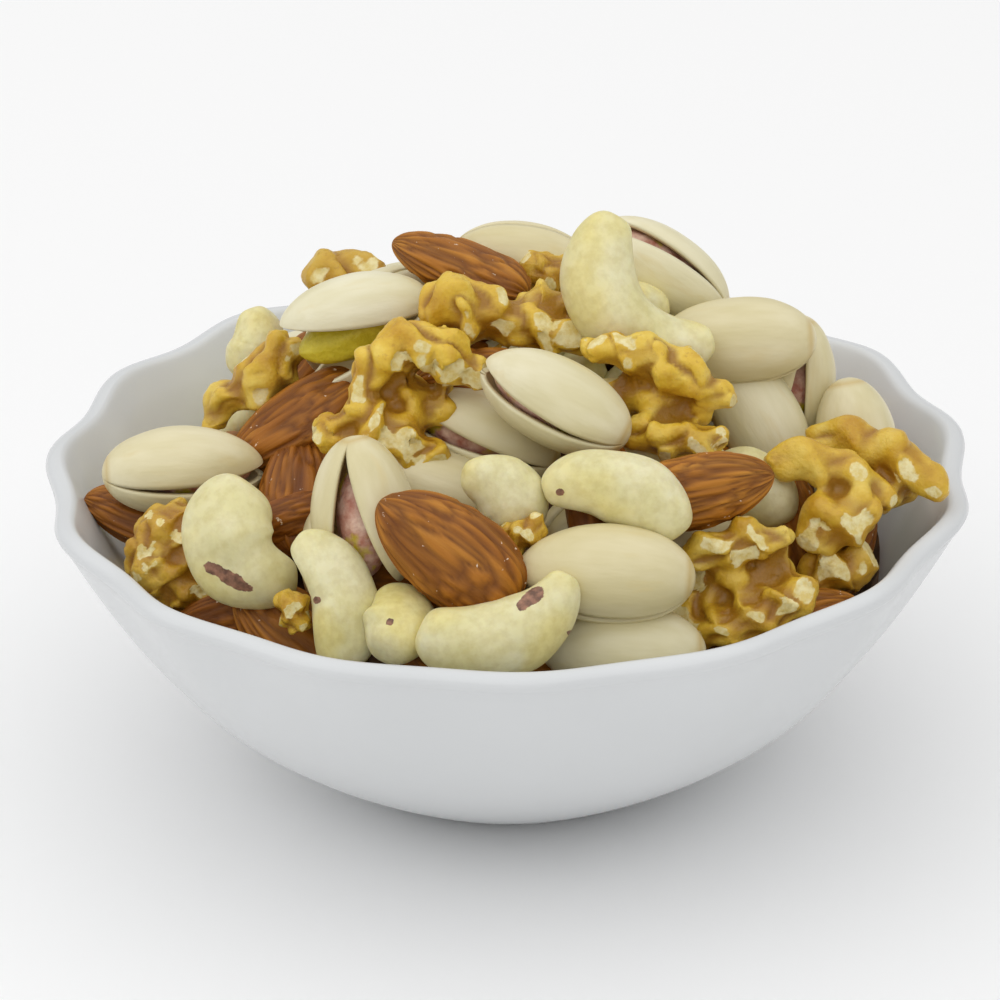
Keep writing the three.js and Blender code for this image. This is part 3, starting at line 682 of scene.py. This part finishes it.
def add_almond(piece, nut):
    shift = shift_of(nut)
    uneven = ALMOND_RELIEF
    half_length = ALMOND.length / 2
    chance = random.Random(nut.number)
    wide, deep, skew = (1 + uneven.varied * chance.uniform(-1, 1) for _ in range(3))
    wrinkled = chance.uniform(uneven.smoothest, uneven.roughest)

    def form(theta, phi):
        point = uneven.blunt + uneven.point * np.maximum(0, -np.cos(theta))
        s = np.sin(theta) ** point * (1 + uneven.taper * np.cos(theta))
        x = -half_length * np.cos(theta)
        streak = almond_grain(phi, x) + shift
        dent = rough(np.stack((x, 5 * np.cos(phi), 5 * np.sin(phi)), -1) + shift, 0.14)
        relief = wrinkled * (creased(streak, 1.0) - 0.75) + uneven.dents * dent
        half_w = ALMOND.width / 2 * wide * s + relief * np.minimum(1, 3 * s)
        half_t = ALMOND.thick / 2 * deep * s + relief * np.minimum(1, 3 * s)
        lean = (skew - 1) * 4 * (1 - (x / half_length) ** 2)
        return np.stack((x, half_w * np.cos(phi) + lean, half_t * np.sin(phi)), -1)

    points, faces, angles = closed_grid(form, *ALMOND_GRIDS[nut.level])
    grain = almond_grain(angles[:, 1], points[:, 0]) + shift
    # The grooves between the wrinkles get painted shade.
    piece.add(placed(nut, points), faces, grain, shade_of(nut), hollow=1 - creased(grain, 1.0))


def add_cashew(piece, nut):
    shape = CASHEWS[nut.kind]
    shift = shift_of(nut)
    uneven = CASHEW_RELIEF

    def form(theta, phi):
        centre, out, swell = cashew_frame(shape, nut.bent, theta)
        at = np.stack((9 * np.cos(theta), 4 * np.cos(phi), 4 * np.sin(phi)), -1) + shift
        creases = creased(at, 0.11, 2) - 0.8
        three_round = np.cos(3 * phi + 0.9 * nut.number)
        relief = uneven.lumps * rough(at, 0.17) + uneven.creases * creases
        relief = relief + uneven.flats * three_round * np.sin(theta)
        inner = np.exp(-(((phi - pi) / 0.5) ** 2)) * np.sin(theta)
        swell = swell * (1 - uneven.groove * inner) + relief * np.minimum(1, 2 * np.sin(theta))
        side = (swell * np.cos(phi))[..., None] * out
        up = (swell * shape.flat * np.sin(phi))[..., None] * np.array((0, 0, 1.0))
        return centre + side + up

    points, faces, angles = closed_grid(form, *CASHEW_GRIDS[nut.level])
    world = placed(nut, points)
    theta, phi = angles.T
    # Painted shade along the groove on the inner curve.
    painted_seam_shade = np.exp(-(((phi - pi) / 0.16) ** 2)) * smooth(np.sin(theta), 0.3, 0.8)
    piece.add(world, faces, points + shift, shade_of(nut), mark=marks(nut, world), hollow=painted_seam_shade)


# Purple-brown scraps of skin and small dark spots on the near cashews, where they show;
# the spot at 560, 492 is the painted shade of a small hole at a cashew's end:
# (across, down, half length, half width, bearing in the picture).
CASHEW_MARKS = [
    (531, 598, 15, 7, 40),
    (228, 577, 27, 7, -28),
    (560, 492, 4, 3.5, 0),
    (570, 633, 3.5, 3.5, 0),
    (317, 600, 3.5, 3.5, 0),
    (390, 622, 3.5, 3.5, 0),
]


def marks(nut, world):
    """How much of a mark each point of a near nut carries."""
    total = np.zeros(len(world))
    if nut.level > 0:
        return total
    across, down = pixels(world)
    faces_eye = (world - nut.place) @ LOOK < 0.5
    uneven = rough(world, 0.45, 5)
    for px, py, long, wide, bearing in CASHEW_MARKS:
        a = radians(bearing)
        u = (across - px) * cos(a) - (down - py) * sin(a)
        v = (across - px) * sin(a) + (down - py) * cos(a)
        reach = np.hypot(u / long, v / wide) + 0.35 * uneven
        total = np.maximum(total, (1 - smooth(reach, 0.5, 1.5)) * faces_eye)
    return total


def ovoid(shape, theta, phi, inset=0.0):
    """An egg, narrower at +X."""
    s = np.sin(theta) ** (1 + 0.22 * np.maximum(0, -np.cos(theta))) * (1 + 0.08 * np.cos(theta))
    return np.stack((
        -(shape.length / 2 - inset) * np.cos(theta),
        (shape.width / 2 - inset) * s * np.cos(phi),
        (shape.thick / 2 - inset) * s * np.sin(phi),
    ), -1)


def shell_half(way, rings, steps, shift):
    """One half of a pistachio's shell, empty within, before it is opened."""
    arc = np.linspace(0, pi, steps)
    phi = np.concatenate((arc, arc[::-1]))
    inset = np.concatenate((np.zeros(steps), np.full(steps, SHELL_T)))
    theta = pi * np.arange(1, rings) / rings
    t, p = np.meshgrid(theta, phi, indexing="ij")
    points = ovoid(PISTACHIO, t, p, inset[None, :])
    lumps = rough(points + shift, 0.11) * SHELL_RELIEF.lumps
    swell = lumps + rough(points + shift, 0.3) * SHELL_RELIEF.grain + 1
    points[..., 1:] *= swell[..., None]
    points[..., 2] = np.maximum(points[..., 2], SEAM) * way
    x = PISTACHIO.length / 2 - SHELL_T / 2
    ends = np.array(((-x, 0, SEAM * way), (x, 0, SEAM * way)))
    faces = capped_faces(rings - 1, 2 * steps)
    if way > 0:
        for f in faces:
            f.reverse()
    inside = np.append(np.broadcast_to(inset > 0, (rings - 1, 2 * steps)).ravel(), (0, 0))
    return np.vstack((points.reshape(-1, 3), ends)), faces, inside.astype(float)


def opened(points, way, degrees):
    """One half of a shell turned open about the hinge near its stem end."""
    hinge = HINGE_IN - PISTACHIO.length / 2
    a = -way * radians(degrees) / 2
    x = points[:, 0] - hinge
    z = points[:, 2]
    return np.column_stack((x * cos(a) + z * sin(a) + hinge, points[:, 1],
                            z * cos(a) - x * sin(a)))


def add_pistachio(shells, kernels, nut):
    shift = shift_of(nut)
    shade = shade_of(nut)
    scar_at, scar_width = SHELL_RELIEF.scar_at, SHELL_RELIEF.scar_width
    for way in (1, -1):
        points, faces, inside = shell_half(way, *SHELL_GRIDS[nut.level], shift)
        scar = np.exp(-(((points[:, 0] - scar_at) / scar_width) ** 2))
        grain = points * np.array((0.25, 1, 1)) + shift
        turned = opened(points, way, nut.bent) if nut.bent >= PARTED else points
        shells.add(placed(nut, turned), faces, grain, shade, mark=inside, hollow=scar)
    if nut.bent < PARTED:
        return

    def form(theta, phi):
        p = ovoid(KERNEL, theta, phi)
        folds = creased(np.stack((1.5 * np.cos(phi), 1.5 * np.sin(phi), 0.08 * p[..., 0]), -1)
                        + shift, 1.0)
        p[..., 1:] *= (KERNEL_RELIEF.least + KERNEL_RELIEF.folds * folds)[..., None]
        return p + np.array((KERNEL_ALONG, 0, 0))

    points, faces, _ = closed_grid(form, *KERNEL_GRIDS[nut.level])
    skin = LITTLE_SKIN if nut.bent > WIDE_OPEN else MUCH_SKIN
    kernels.add(placed(nut, points), faces, points + shift, shade, mark=skin)


# Where a piece of walnut is broken and shows its pale inside: (x, y, radius) on its +Z side.
BROKEN = {
    "walnut_arch": [
        (2.6, 8.0, 1.5), (0, 4.5, 1.2), (3, 5, 1.3), (7.6, 2.3, 1.6), (-8, 1.2, 1.4),
        (10.2, -0.3, 1.5), (-2.7, -5.6, 1.6), (1.1, -4.5, 1.2), (1.5, -8.6, 1.3),
        (-14.8, -4.8, 1.6),
    ],
    "walnut_ring": [(10.2, -4.7, 1.6), (6.7, -8.2, 1.6), (10.3, -7.9, 1.5), (-5.2, 5, 1.2)],
    "walnut_long": [(0, -2.3, 1.2), (6.8, -3.8, 1.2), (10.6, -3, 1.5), (6.4, 1.2, 1.0)],
    "walnut_ridges": [
        (-2, 5.8, 1.7), (1.8, 4.5, 1.4), (4.1, 7, 1.6), (8.2, 0.5, 1.5), (1.8, -2.9, 1.7),
        (-2, -6.8, 1.5), (-6.5, 1, 1.3), (-9, -4.3, 1.5),
    ],
    "walnut_hook": [(-4.1, -2.9, 2.4), (4.1, -0.5, 1.8)],
    "walnut_lobe": [(1.8, -2.2, 2.8)],
    "walnut_chunk": [(1.5, -0.5, 2.6)],
    "walnut_bits": [(-1.5, -2.5, 1.1), (3, 3.4, 1.2)],
    "walnut_nub": [(-2.5, 2, 1.0)],
    "walnut_dome": [(-5.5, 4.3, 1.2), (3.5, -3.5, 1.0)],
}

# Flesh, as arms, that fills a piece out between its own.
FILLINGS = {"walnut_lobe": [((-2.5, -1.8, -0.5), (5.5, -3.6, -0.5), (0, 0, 0), 4.0, 2)]}
PLAIN_WALNUTS = ("walnut_hook", "walnut_lobe")  # with wide smooth folds


def arm_form(arm):
    """The surface of one arm of walnut, knobbly along its length."""
    radius, knobs = arm[3:]

    def form(theta, phi):
        t = (1 - np.cos(theta)) / 2
        centre, along = spine(arm, t)
        side = unit(np.stack((-along[..., 1], along[..., 0], 0 * along[..., 2]), -1))
        up = -unit(np.cross(along, side))
        knob = 1 + 0.16 * np.cos(2 * pi * knobs * t + 2 * np.cos(phi))
        r = radius * np.sin(theta) ** 0.6 * knob
        return centre + (r * np.cos(phi))[..., None] * side + (r * np.sin(phi))[..., None] * up

    return form


def dome_form(theta, phi):
    """The outside of half a walnut: two lobes with a furrow between."""
    x = -DOME.length / 2 * np.cos(theta)
    upper = np.sin(phi) > 0
    furrow = 1 - DOME.furrow * np.exp(-((np.cos(phi) / 0.22) ** 2)) * upper
    knob = 1 + DOME.knobs * np.cos(5 * phi + 1.4 * x) * np.sin(theta)
    s = np.sin(theta) ** 0.7 * furrow * knob
    height = np.where(upper, DOME.high, DOME.low)
    return np.stack((x, DOME.width / 2 * s * np.cos(phi), height * s * np.sin(phi)), -1)


def remeshed(points, faces, voxel):
    """One skin over everything: (points, quads, normals)."""
    mesh = bpy.data.meshes.new("walnut")
    mesh.from_pydata(points.tolist(), [], faces)
    obj = linked("walnut", mesh)
    skin = obj.modifiers.new("skin", "REMESH")
    skin.mode = "VOXEL"
    skin.voxel_size = voxel
    made = obj.evaluated_get(bpy.context.evaluated_depsgraph_get()).to_mesh()
    found = np.empty(len(made.vertices) * 3)
    made.vertices.foreach_get("co", found)
    normals = np.empty(len(made.vertices) * 3, np.float32)
    made.vertex_normals.foreach_get("vector", normals)
    quads = [list(p.vertices) for p in made.polygons]
    bpy.data.objects.remove(obj)
    bpy.data.meshes.remove(mesh)
    return found.reshape(-1, 3), quads, normals.reshape(-1, 3).astype(float)


def softened(points, faces, rounds):
    """The points after each has moved half way to its neighbours' middle, several times."""
    start, end = faces.ravel(), np.roll(faces, -1, axis=1).ravel()
    n = len(points)
    count = np.bincount(start, minlength=n)[:, None]
    for _ in range(rounds):
        sums = [np.bincount(start, points[end, i], n) for i in range(3)]
        points = (points + np.stack(sums, -1) / count) / 2
    return points


def chip(points, centre, normal, depth, reach, shift):
    """Cuts off what stands over a plane near a spot, as where a piece has broken off.

    Returns how much of the pale inside each point shows; `depth` is how deep it cuts."""
    from_centre = points - centre
    over = from_centre @ normal + depth
    over = over + 0.1 * rough(points + shift, 0.9, 9) + 0.14 * rough(points + shift, 0.4, 7)
    near = (np.linalg.norm(from_centre, axis=1) < reach) & (over > 0)
    points[near] -= (over[:, None] * normal)[near]
    return np.clip(over / FULL_CHIP, 0, 1) * near


def break_off(points, normals, bulge, spots, shift, area):
    """Breaks off the listed spots and chance ones on the ridges; returns how much."""
    broken = np.zeros(len(points))
    chance = random.Random(int(shift[0] * 10) + 1)
    ridges = np.flatnonzero(bulge > np.quantile(bulge, 0.75))
    for x, y, radius in spots:
        out = np.hypot(points[:, 0] - x, points[:, 1] - y)
        top = np.argmax(np.where(out < 1.0, points[:, 2], -99))
        facing = unit(normals[top] + np.array((0, 0, 0.6)))
        cut = chip(points, points[top].copy(), facing, 0.3 * radius, 1.6 * radius, shift)
        broken = np.maximum(broken, cut)
    for _ in range(int(area * CHIPS_PER_MM2)):
        i = ridges[chance.randrange(len(ridges))]
        tilted = unit(normals[i] + 0.3 * np.array([chance.uniform(-1, 1) for _ in range(3)]))
        depth = chance.uniform(*CHIP_DEPTHS)
        cut = chip(points, points[i].copy(), tilted, depth, 1.6 + 2 * depth, shift)
        broken = np.maximum(broken, cut)
    return broken


def add_walnut(piece, nut):
    kind = nut.kind
    shift = shift_of(nut)
    voxel = WALNUT_VOXELS[nut.level]
    uneven = PLAIN_RELIEF if kind in PLAIN_WALNUTS else WALNUT_RELIEF
    if kind == "walnut_dome":
        points, faces, _ = closed_grid(dome_form, *DOME_GRID)
    else:
        arms = ARMS[kind] + FILLINGS.get(kind, [])
        parts = [closed_grid(arm_form(arm), *ARM_GRID) for arm in arms]
        offsets = np.cumsum([0] + [len(p[0]) for p in parts])
        points = np.vstack([p[0] for p in parts])
        faces = [[v + n for v in f] for p, n in zip(parts, offsets) for f in p[1]]
    points, faces, normals = remeshed(points, faces, voxel)
    at = points + shift
    folds = creased(at, uneven.folding, 1)
    wrinkles = creased(at, 0.36, 2)
    lumps = rough(at, 0.24, 3)
    relief = uneven.folds * (folds - 0.85)
    relief += uneven.wrinkles * (wrinkles - 0.7) + uneven.lumps * lumps
    points = points + normals * relief[:, None]
    rounds = round(SOFTENED_OVER / voxel ** 2)
    bulge = np.sum((points - softened(points, np.array(faces), rounds)) * normals, axis=1)
    area = len(points) * voxel ** 2 * 1.2
    broken = break_off(points, normals, bulge, BROKEN[kind], shift, area)
    # Painted shade: how dark each point is painted in the folds and valleys.
    hollow = np.clip(0.42 - bulge / 0.9 + 0.3 * (1 - folds), 0, 1)
    piece.add(placed(nut, points), faces, points + shift, shade_of(nut), mark=broken,
              hollow=hollow)


def core_piece(material):
    """The middle of the heap, which closes the gaps between the nuts; its colour is the deeper
    nuts' brown with their shade painted in.
    """

    def form(theta, phi):
        r = CORE_R * np.sin(theta)
        x, y = r * np.cos(phi), r * np.sin(phi)
        top = np.vectorize(heap_z)(x, y) - CORE_DEPTH
        bottom = CORE_FOOT_Z + CORE_RISE * (r / CORE_R) ** 3.2
        upper = theta < pi / 2
        z = np.where(upper, np.maximum(top, bottom), np.minimum(top, bottom))
        lumps = rough(np.stack((x, y, z), -1), 0.16, 4) * upper
        return np.stack((x, y, z + 1.6 * lumps), -1)

    piece = Piece("nut_core")
    points, faces, _ = closed_grid(form, *CORE_GRID)
    piece.add(points, faces, points)
    return piece.made(material)


# ------------------------ the bowl
def bowl_profile():
    """The section from the axis underneath, round the lip, back to the axis inside."""
    lip = np.array([
        wall_points(1.0, 0.0).reshape(2), (RIM_R, RIM_Z - 0.2), (RIM_R - 0.25, RIM_Z + 0.75),
        (RIM_R - 1.0, CREST_Z - 0.2), (RIM_R - 2.1, CREST_Z), (RIM_R - 3.1, CREST_Z - 0.5),
        wall_points(0.96, WALL_T).reshape(2),
    ])
    along = np.concatenate(([0], np.cumsum(np.linalg.norm(np.diff(lip, axis=0), axis=1))))
    even = np.linspace(0, along[-1], LIP_STEPS)
    lip = np.column_stack([smooth_curve(along, lip[:, i], even) for i in (0, 1)])
    outside = wall_points(np.linspace(0, 1, OUTSIDE_STEPS)[1:-1], 0.0)
    inside = wall_points(np.linspace(0.94, 0.2, INSIDE_STEPS), WALL_T)
    foot = [(0.01, FOOT_RECESS), (10, FOOT_RECESS), (FOOT_RING_R - 1.6, FOOT_RECESS),
            (FOOT_RING_R - 0.7, FOOT_RECESS - 0.35), (FOOT_RING_R - 0.2, 0.25),
            (FOOT_RING_R + 0.4, 0), (FOOT_R - 0.7, 0), (FOOT_R - 0.25, 0.12)]
    well = [(20.5, FLOOR_Z + 1.2), (17, FLOOR_Z + 0.5), (12, FLOOR_Z + 0.15), (6, FLOOR_Z),
            (0.01, FLOOR_Z)]
    return np.vstack((foot, outside, lip, inside, well))


def smooth_curve(along, values, at):
    """Catmull-Rom through `values`."""
    v = np.concatenate(([2 * values[0] - values[1]], values, [2 * values[-1] - values[-2]]))
    i = np.clip(np.searchsorted(along, at, side="right") - 1, 0, len(along) - 2)
    t = (at - along[i]) / (along[i + 1] - along[i])
    a, b, c, d = v[i], v[i + 1], v[i + 2], v[i + 3]
    return 0.5 * (2 * b + (c - a) * t + (2 * a - 5 * b + 4 * c - d) * t * t
                  + (3 * b - a - 3 * c + d) * t ** 3)


def bowl_piece(material):
    """The section turned round the axis, with the rim's lobes."""
    profile = bowl_profile()
    bearing = 2 * pi * np.arange(BOWL_SIDES) / BOWL_SIDES
    r, turn = np.meshgrid(profile[:, 0], bearing, indexing="ij")
    z = np.broadcast_to(profile[:, 1][:, None], r.shape)
    wave = np.cos(LOBES * (turn - LOBE_PHASE))
    share = smooth(z, LOBE_FADE_Z, RIM_Z)
    r = r + LOBE_DEPTH * share * wave
    z = z + LOBE_RISE * share ** 3 * wave
    points = np.stack((r * np.cos(turn), r * np.sin(turn), z), -1).reshape(-1, 3)
    last = (len(profile) - 1) * BOWL_SIDES
    faces = grid_faces(len(profile), BOWL_SIDES)
    faces.append(list(range(BOWL_SIDES))[::-1])
    faces.append([last + j for j in range(BOWL_SIDES)])
    piece = Piece("bowl_glazed")
    piece.add(points, faces, points)
    return piece.made(material)


# ------------------------ materials
def paint(red, green, blue):
    """A colour as it shows, 0 to 255, as the shader's linear numbers."""
    shown = np.array((red, green, blue)) / 255
    linear = np.where(shown <= 0.04045, shown / 12.92, ((shown + 0.055) / 1.055) ** 2.4)
    return (*linear.tolist(), 1.0)


WHITE = paint(255, 255, 255)


class Look:
    """A material, and short ways to add nodes to it."""

    def __init__(self, name):
        self.material = bpy.data.materials.new(name)
        self.material.use_nodes = True
        self.nodes = self.material.node_tree.nodes
        self.links = self.material.node_tree.links
        self.traits = {}

    def feed(self, socket, value):
        if isinstance(value, bpy.types.NodeSocket):
            self.links.new(value, socket)
        else:
            socket.default_value = value

    def set(self, **values):
        for name, value in values.items():
            self.feed(self.nodes["Principled BSDF"].inputs[name.replace("_", " ")], value)

    def node(self, kind, **values):
        """A new node, with these values in its sockets."""
        node = self.nodes.new(kind)
        for name, value in values.items():
            self.feed(node.inputs[name], value)
        return node

    def trait(self, name, output="Fac"):
        """One of a piece's traits at each point."""
        if name not in self.traits:
            node = self.node("ShaderNodeAttribute")
            node.attribute_name = name
            self.traits[name] = node.outputs[output]
        return self.traits[name]

    def noise(self, scale, detail=3.0, roughness=0.55, at=None):
        """Noise by the points' grain, or by other coordinates."""
        at = self.trait("grain", "Vector") if at is None else at
        node = self.node("ShaderNodeTexNoise", Vector=at, Scale=scale, Detail=detail,
                         Roughness=roughness)
        return node.outputs["Fac"]

    def ramp(self, value, *stops):
        """stops are (position, colour or number)."""
        node = self.node("ShaderNodeValToRGB", Fac=value)
        found = node.color_ramp.elements
        while len(found) < len(stops):
            found.new(0.5)
        for element, (position, colour) in zip(found, stops):
            element.position = position
            grey = isinstance(colour, (int, float))
            element.color = (colour, colour, colour, 1) if grey else colour
        return node.outputs["Color"]

    def mix(self, share, a, b, how="MIX"):
        node = self.node("ShaderNodeMix")
        node.data_type = "RGBA"
        node.blend_type = how
        self.feed(node.inputs["Factor"], share)
        for name, value in (("A", a), ("B", b)):
            sockets = [s for s in node.inputs if s.name == name and s.type == "RGBA"]
            self.feed(sockets[0], value)
        return [s for s in node.outputs if s.type == "RGBA"][0]

    def math(self, how, a, b):
        node = self.node("ShaderNodeMath")
        node.operation = how
        self.feed(node.inputs[0], a)
        self.feed(node.inputs[1], b)
        return node.outputs[0]

    def bump(self, height, distance, strength=1.0):
        """distance is in millimetres."""
        node = self.node("ShaderNodeBump", Height=height, Distance=distance * MM,
                         Strength=strength)
        return node.outputs["Normal"]

    def toned(self, colour, darkest):
        """A colour that is lighter or darker from nut to nut."""
        tone = self.ramp(self.trait("shade"), (0, darkest), (1, WHITE))
        return self.mix(1.0, colour, tone, "MULTIPLY")

    def dyed(self, colour, trait, most, dye):
        """A colour that turns to another where a trait is high."""
        return self.mix(self.math("MULTIPLY", self.trait(trait), most), colour, dye)


def almond_look():
    look = Look("almond_skin")
    skin = look.ramp(look.noise(0.6, 4, 0.6), (0.3, paint(168, 104, 26)),
                     (0.5, paint(188, 122, 34)), (0.7, paint(204, 140, 48)))
    skin = look.toned(skin, paint(214, 198, 182))
    # Painted shade: the skin is darker in the grooves between the wrinkles.
    skin = look.dyed(skin, "hollow", 0.75, paint(92, 46, 12))
    metres = look.node("ShaderNodeTexCoord").outputs["Object"]
    salt = look.ramp(look.noise(600, 3, 0.6, metres), (0.685, 0.0), (0.715, 0.9))
    skin = look.mix(salt, skin, paint(240, 220, 196))
    look.set(Base_Color=skin, Roughness=0.48, Specular_IOR_Level=0.32,
             Normal=look.bump(look.noise(3, 3), 0.12))
    return look.material


def cashew_look():
    look = Look("cashew_flesh")
    flesh = look.ramp(look.noise(0.12, 2), (0.35, paint(225, 217, 162)),
                      (0.65, paint(237, 231, 190)))
    yellow = look.ramp(look.noise(0.09, 2), (0.48, 0.0), (0.66, 0.55))
    flesh = look.mix(yellow, flesh, paint(236, 220, 128))
    fine = look.ramp(look.noise(0.7, 4), (0.35, paint(243, 240, 230)), (0.6, WHITE))
    flesh = look.mix(1.0, flesh, fine, "MULTIPLY")
    # Painted shade along the groove on the inner curve.
    flesh = look.dyed(flesh, "hollow", 0.35, paint(204, 176, 104))
    skin = look.ramp(look.noise(1.0, 3), (0.35, paint(106, 74, 58)), (0.7, paint(172, 124, 98)))
    ragged = look.math("MULTIPLY", look.noise(1.6, 4), 0.7)
    scrap = look.ramp(look.math("ADD", look.trait("mark"), ragged), (0.79, 0.0), (0.87, 1.0))
    look.set(Base_Color=look.mix(scrap, flesh, skin), Roughness=0.46,
             Normal=look.bump(look.noise(0.5, 3), 0.12), Subsurface_Weight=0.3,
             Subsurface_Scale=0.003, Subsurface_Radius=(1.0, 0.82, 0.3))
    return look.material


def shell_look():
    look = Look("pistachio_shell")
    shell = look.ramp(look.noise(0.2, 3), (0.35, paint(226, 218, 178)),
                      (0.65, paint(240, 234, 204)))
    shell = look.toned(shell, paint(244, 238, 222))
    stain = look.ramp(look.noise(0.35, 4), (0.56, 0.0), (0.75, 0.4))
    shell = look.mix(stain, shell, paint(220, 198, 132))
    # The stem scar's ring, a colour of its own.
    shell = look.dyed(shell, "hollow", 0.7, paint(206, 178, 110))
    shell = look.dyed(shell, "mark", 0.6, paint(214, 190, 138))
    look.set(Base_Color=shell, Roughness=0.4, Normal=look.bump(look.noise(0.8, 3), 0.1))
    return look.material


def kernel_look():
    look = Look("pistachio_kernel")
    green = look.ramp(look.noise(0.3, 3), (0.3, paint(186, 168, 12)), (0.7, paint(224, 206, 58)))
    skin = look.ramp(look.noise(0.5, 3), (0.3, paint(182, 112, 92)), (0.7, paint(238, 204, 182)))
    patch = look.math("SUBTRACT", look.trait("mark"), look.noise(0.16, 3))
    share = look.ramp(look.math("ADD", patch, 0.5), (0.46, 0.0), (0.54, 1.0))
    look.set(Base_Color=look.mix(share, green, skin), Roughness=0.42,
             Normal=look.bump(look.noise(1.2, 4), 0.25))
    return look.material


def walnut_look():
    look = Look("walnut_skin")
    skin = look.ramp(look.noise(0.17, 4), (0.3, paint(202, 152, 28)),
                     (0.52, paint(230, 192, 62)), (0.72, paint(243, 216, 104)))
    skin = look.toned(skin, paint(226, 216, 204))
    # Painted shade in the folds and valleys.
    deep = look.ramp(look.trait("hollow"), (0.4, 0.0), (1.0, 0.85))
    skin = look.mix(deep, skin, paint(150, 98, 16))
    veins = look.ramp(look.noise(1.0, 4, 0.7), (0.58, 0.0), (0.68, 0.3))
    skin = look.mix(veins, skin, paint(160, 102, 36))
    flesh = look.ramp(look.noise(0.9, 3), (0.35, paint(224, 200, 118)),
                      (0.65, paint(242, 230, 176)))
    ragged = look.math("MULTIPLY", look.noise(1.4, 3, 0.6), 0.9)
    inside = look.math("SUBTRACT", look.math("MULTIPLY", look.trait("mark"), 1.4), ragged)
    inside = look.ramp(inside, (0.0, 0.0), (0.5, 1.0))
    look.set(Base_Color=look.mix(inside, skin, flesh), Roughness=0.36,
             Normal=look.bump(look.noise(1.2, 4), 0.22), Subsurface_Weight=0.1,
             Subsurface_Scale=0.0012, Subsurface_Radius=(1.0, 0.85, 0.4))
    return look.material


def core_shade_look():
    look = Look("heap_depths_painted_shade")
    # Painted shade: the deeper nuts' brown, darkened as the shade in the gaps.
    nut_brown_and_shade = look.ramp(look.noise(0.3, 4), (0.3, paint(70, 46, 26)), (0.7, paint(110, 78, 44)))
    look.set(Base_Color=nut_brown_and_shade, Roughness=0.8)
    return look.material


def glaze_look():
    look = Look("white_glaze")
    white = look.ramp(look.noise(0.02, 2), (0.3, paint(215, 217, 218)),
                      (0.7, paint(219, 221, 222)))
    look.set(Base_Color=white, Roughness=0.25, Specular_IOR_Level=0.5,
             Normal=look.bump(look.noise(0.05, 2), 0.25, 0.5))
    return look.material


# ------------------------ the whole thing
def build_nuts():
    looks = dict(almonds=almond_look(), cashews=cashew_look(), pistachio_shells=shell_look(),
                 pistachio_kernels=kernel_look(), walnuts=walnut_look())
    kinds = {name: Piece(name) for name in looks}
    for nut in lay_nuts():
        if nut.kind == "almond":
            add_almond(kinds["almonds"], nut)
        elif nut.kind in CASHEWS:
            add_cashew(kinds["cashews"], nut)
        elif nut.kind == "pistachio":
            add_pistachio(kinds["pistachio_shells"], kinds["pistachio_kernels"], nut)
        else:
            add_walnut(kinds["walnuts"], nut)
    return [kinds[name].made(look) for name, look in looks.items()]


nuts = [*build_nuts(), core_piece(core_shade_look())]
for nut_piece in nuts:
    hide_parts("nut_heap")
    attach(nut_piece, "root")

bowl = bowl_piece(glaze_look())
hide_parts("bowl")
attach(bowl, "root")


# ------------------------ the setting
def looking(right, up, place):
    """A 4 x 4 matrix for something that looks along its own -Z, with these axes."""
    matrix = np.eye(4)
    matrix[:3, 0] = right
    matrix[:3, 1] = up
    matrix[:3, 2] = np.cross(right, up)
    matrix[:3, 3] = place * MM
    return Matrix(matrix.tolist())


def add_camera():
    data = bpy.data.cameras.new("camera")
    data.sensor_width = 36.0
    data.lens = VIEW_FOCAL / PICTURE * data.sensor_width
    data.shift_x = (PICTURE / 2 - VIEW_CENTRE[0]) / PICTURE
    data.shift_y = (VIEW_CENTRE[1] - PICTURE / 2) / PICTURE
    data.clip_start = 0.05
    data.clip_end = 20
    camera = linked("camera", data)
    camera.matrix_world = looking(ACROSS, UPWARD, EYE)
    bpy.context.scene.camera = camera


def add_lamp(name, place, width, power):
    """A square white lamp that points at the middle of the bowl."""
    data = bpy.data.lights.new(name, "AREA")
    data.size = width
    data.energy = power
    lamp = linked(name, data)
    lamp.location = place
    aim = Vector((0, 0, 0.05)) - lamp.location
    lamp.rotation_euler = aim.to_track_quat("-Z", "Y").to_euler()
    return lamp


def add_floor():
    mesh = bpy.data.meshes.new("floor")
    half = 4.0
    corners = [(-half, -half, 0), (half, -half, 0), (half, half, 0), (-half, half, 0)]
    mesh.from_pydata(corners, [], [(0, 1, 2, 3)])
    look = Look("floor")
    look.set(Base_Color=paint(250, 250, 250), Roughness=0.9, Specular_IOR_Level=0.1)
    mesh.materials.append(look.material)
    return linked("floor", mesh)


add_camera()
add_lamp("overhead", (-0.1, -0.1, 1.25), width=3.0, power=19.0)
add_lamp("front_fill", (0.2, -1.4, 0.6), width=1.0, power=0.7)
add_lamp("left_fill", (-1.3, -0.2, 0.6), width=0.9, power=1.0)
add_floor()

world = bpy.data.worlds.new("world")
bpy.context.scene.world = world
world.use_nodes = True
sky = world.node_tree.nodes["Background"]
sky.inputs["Color"].default_value = WHITE
sky.inputs["Strength"].default_value = 0.55
bpy.context.scene.view_settings.view_transform = "Standard"
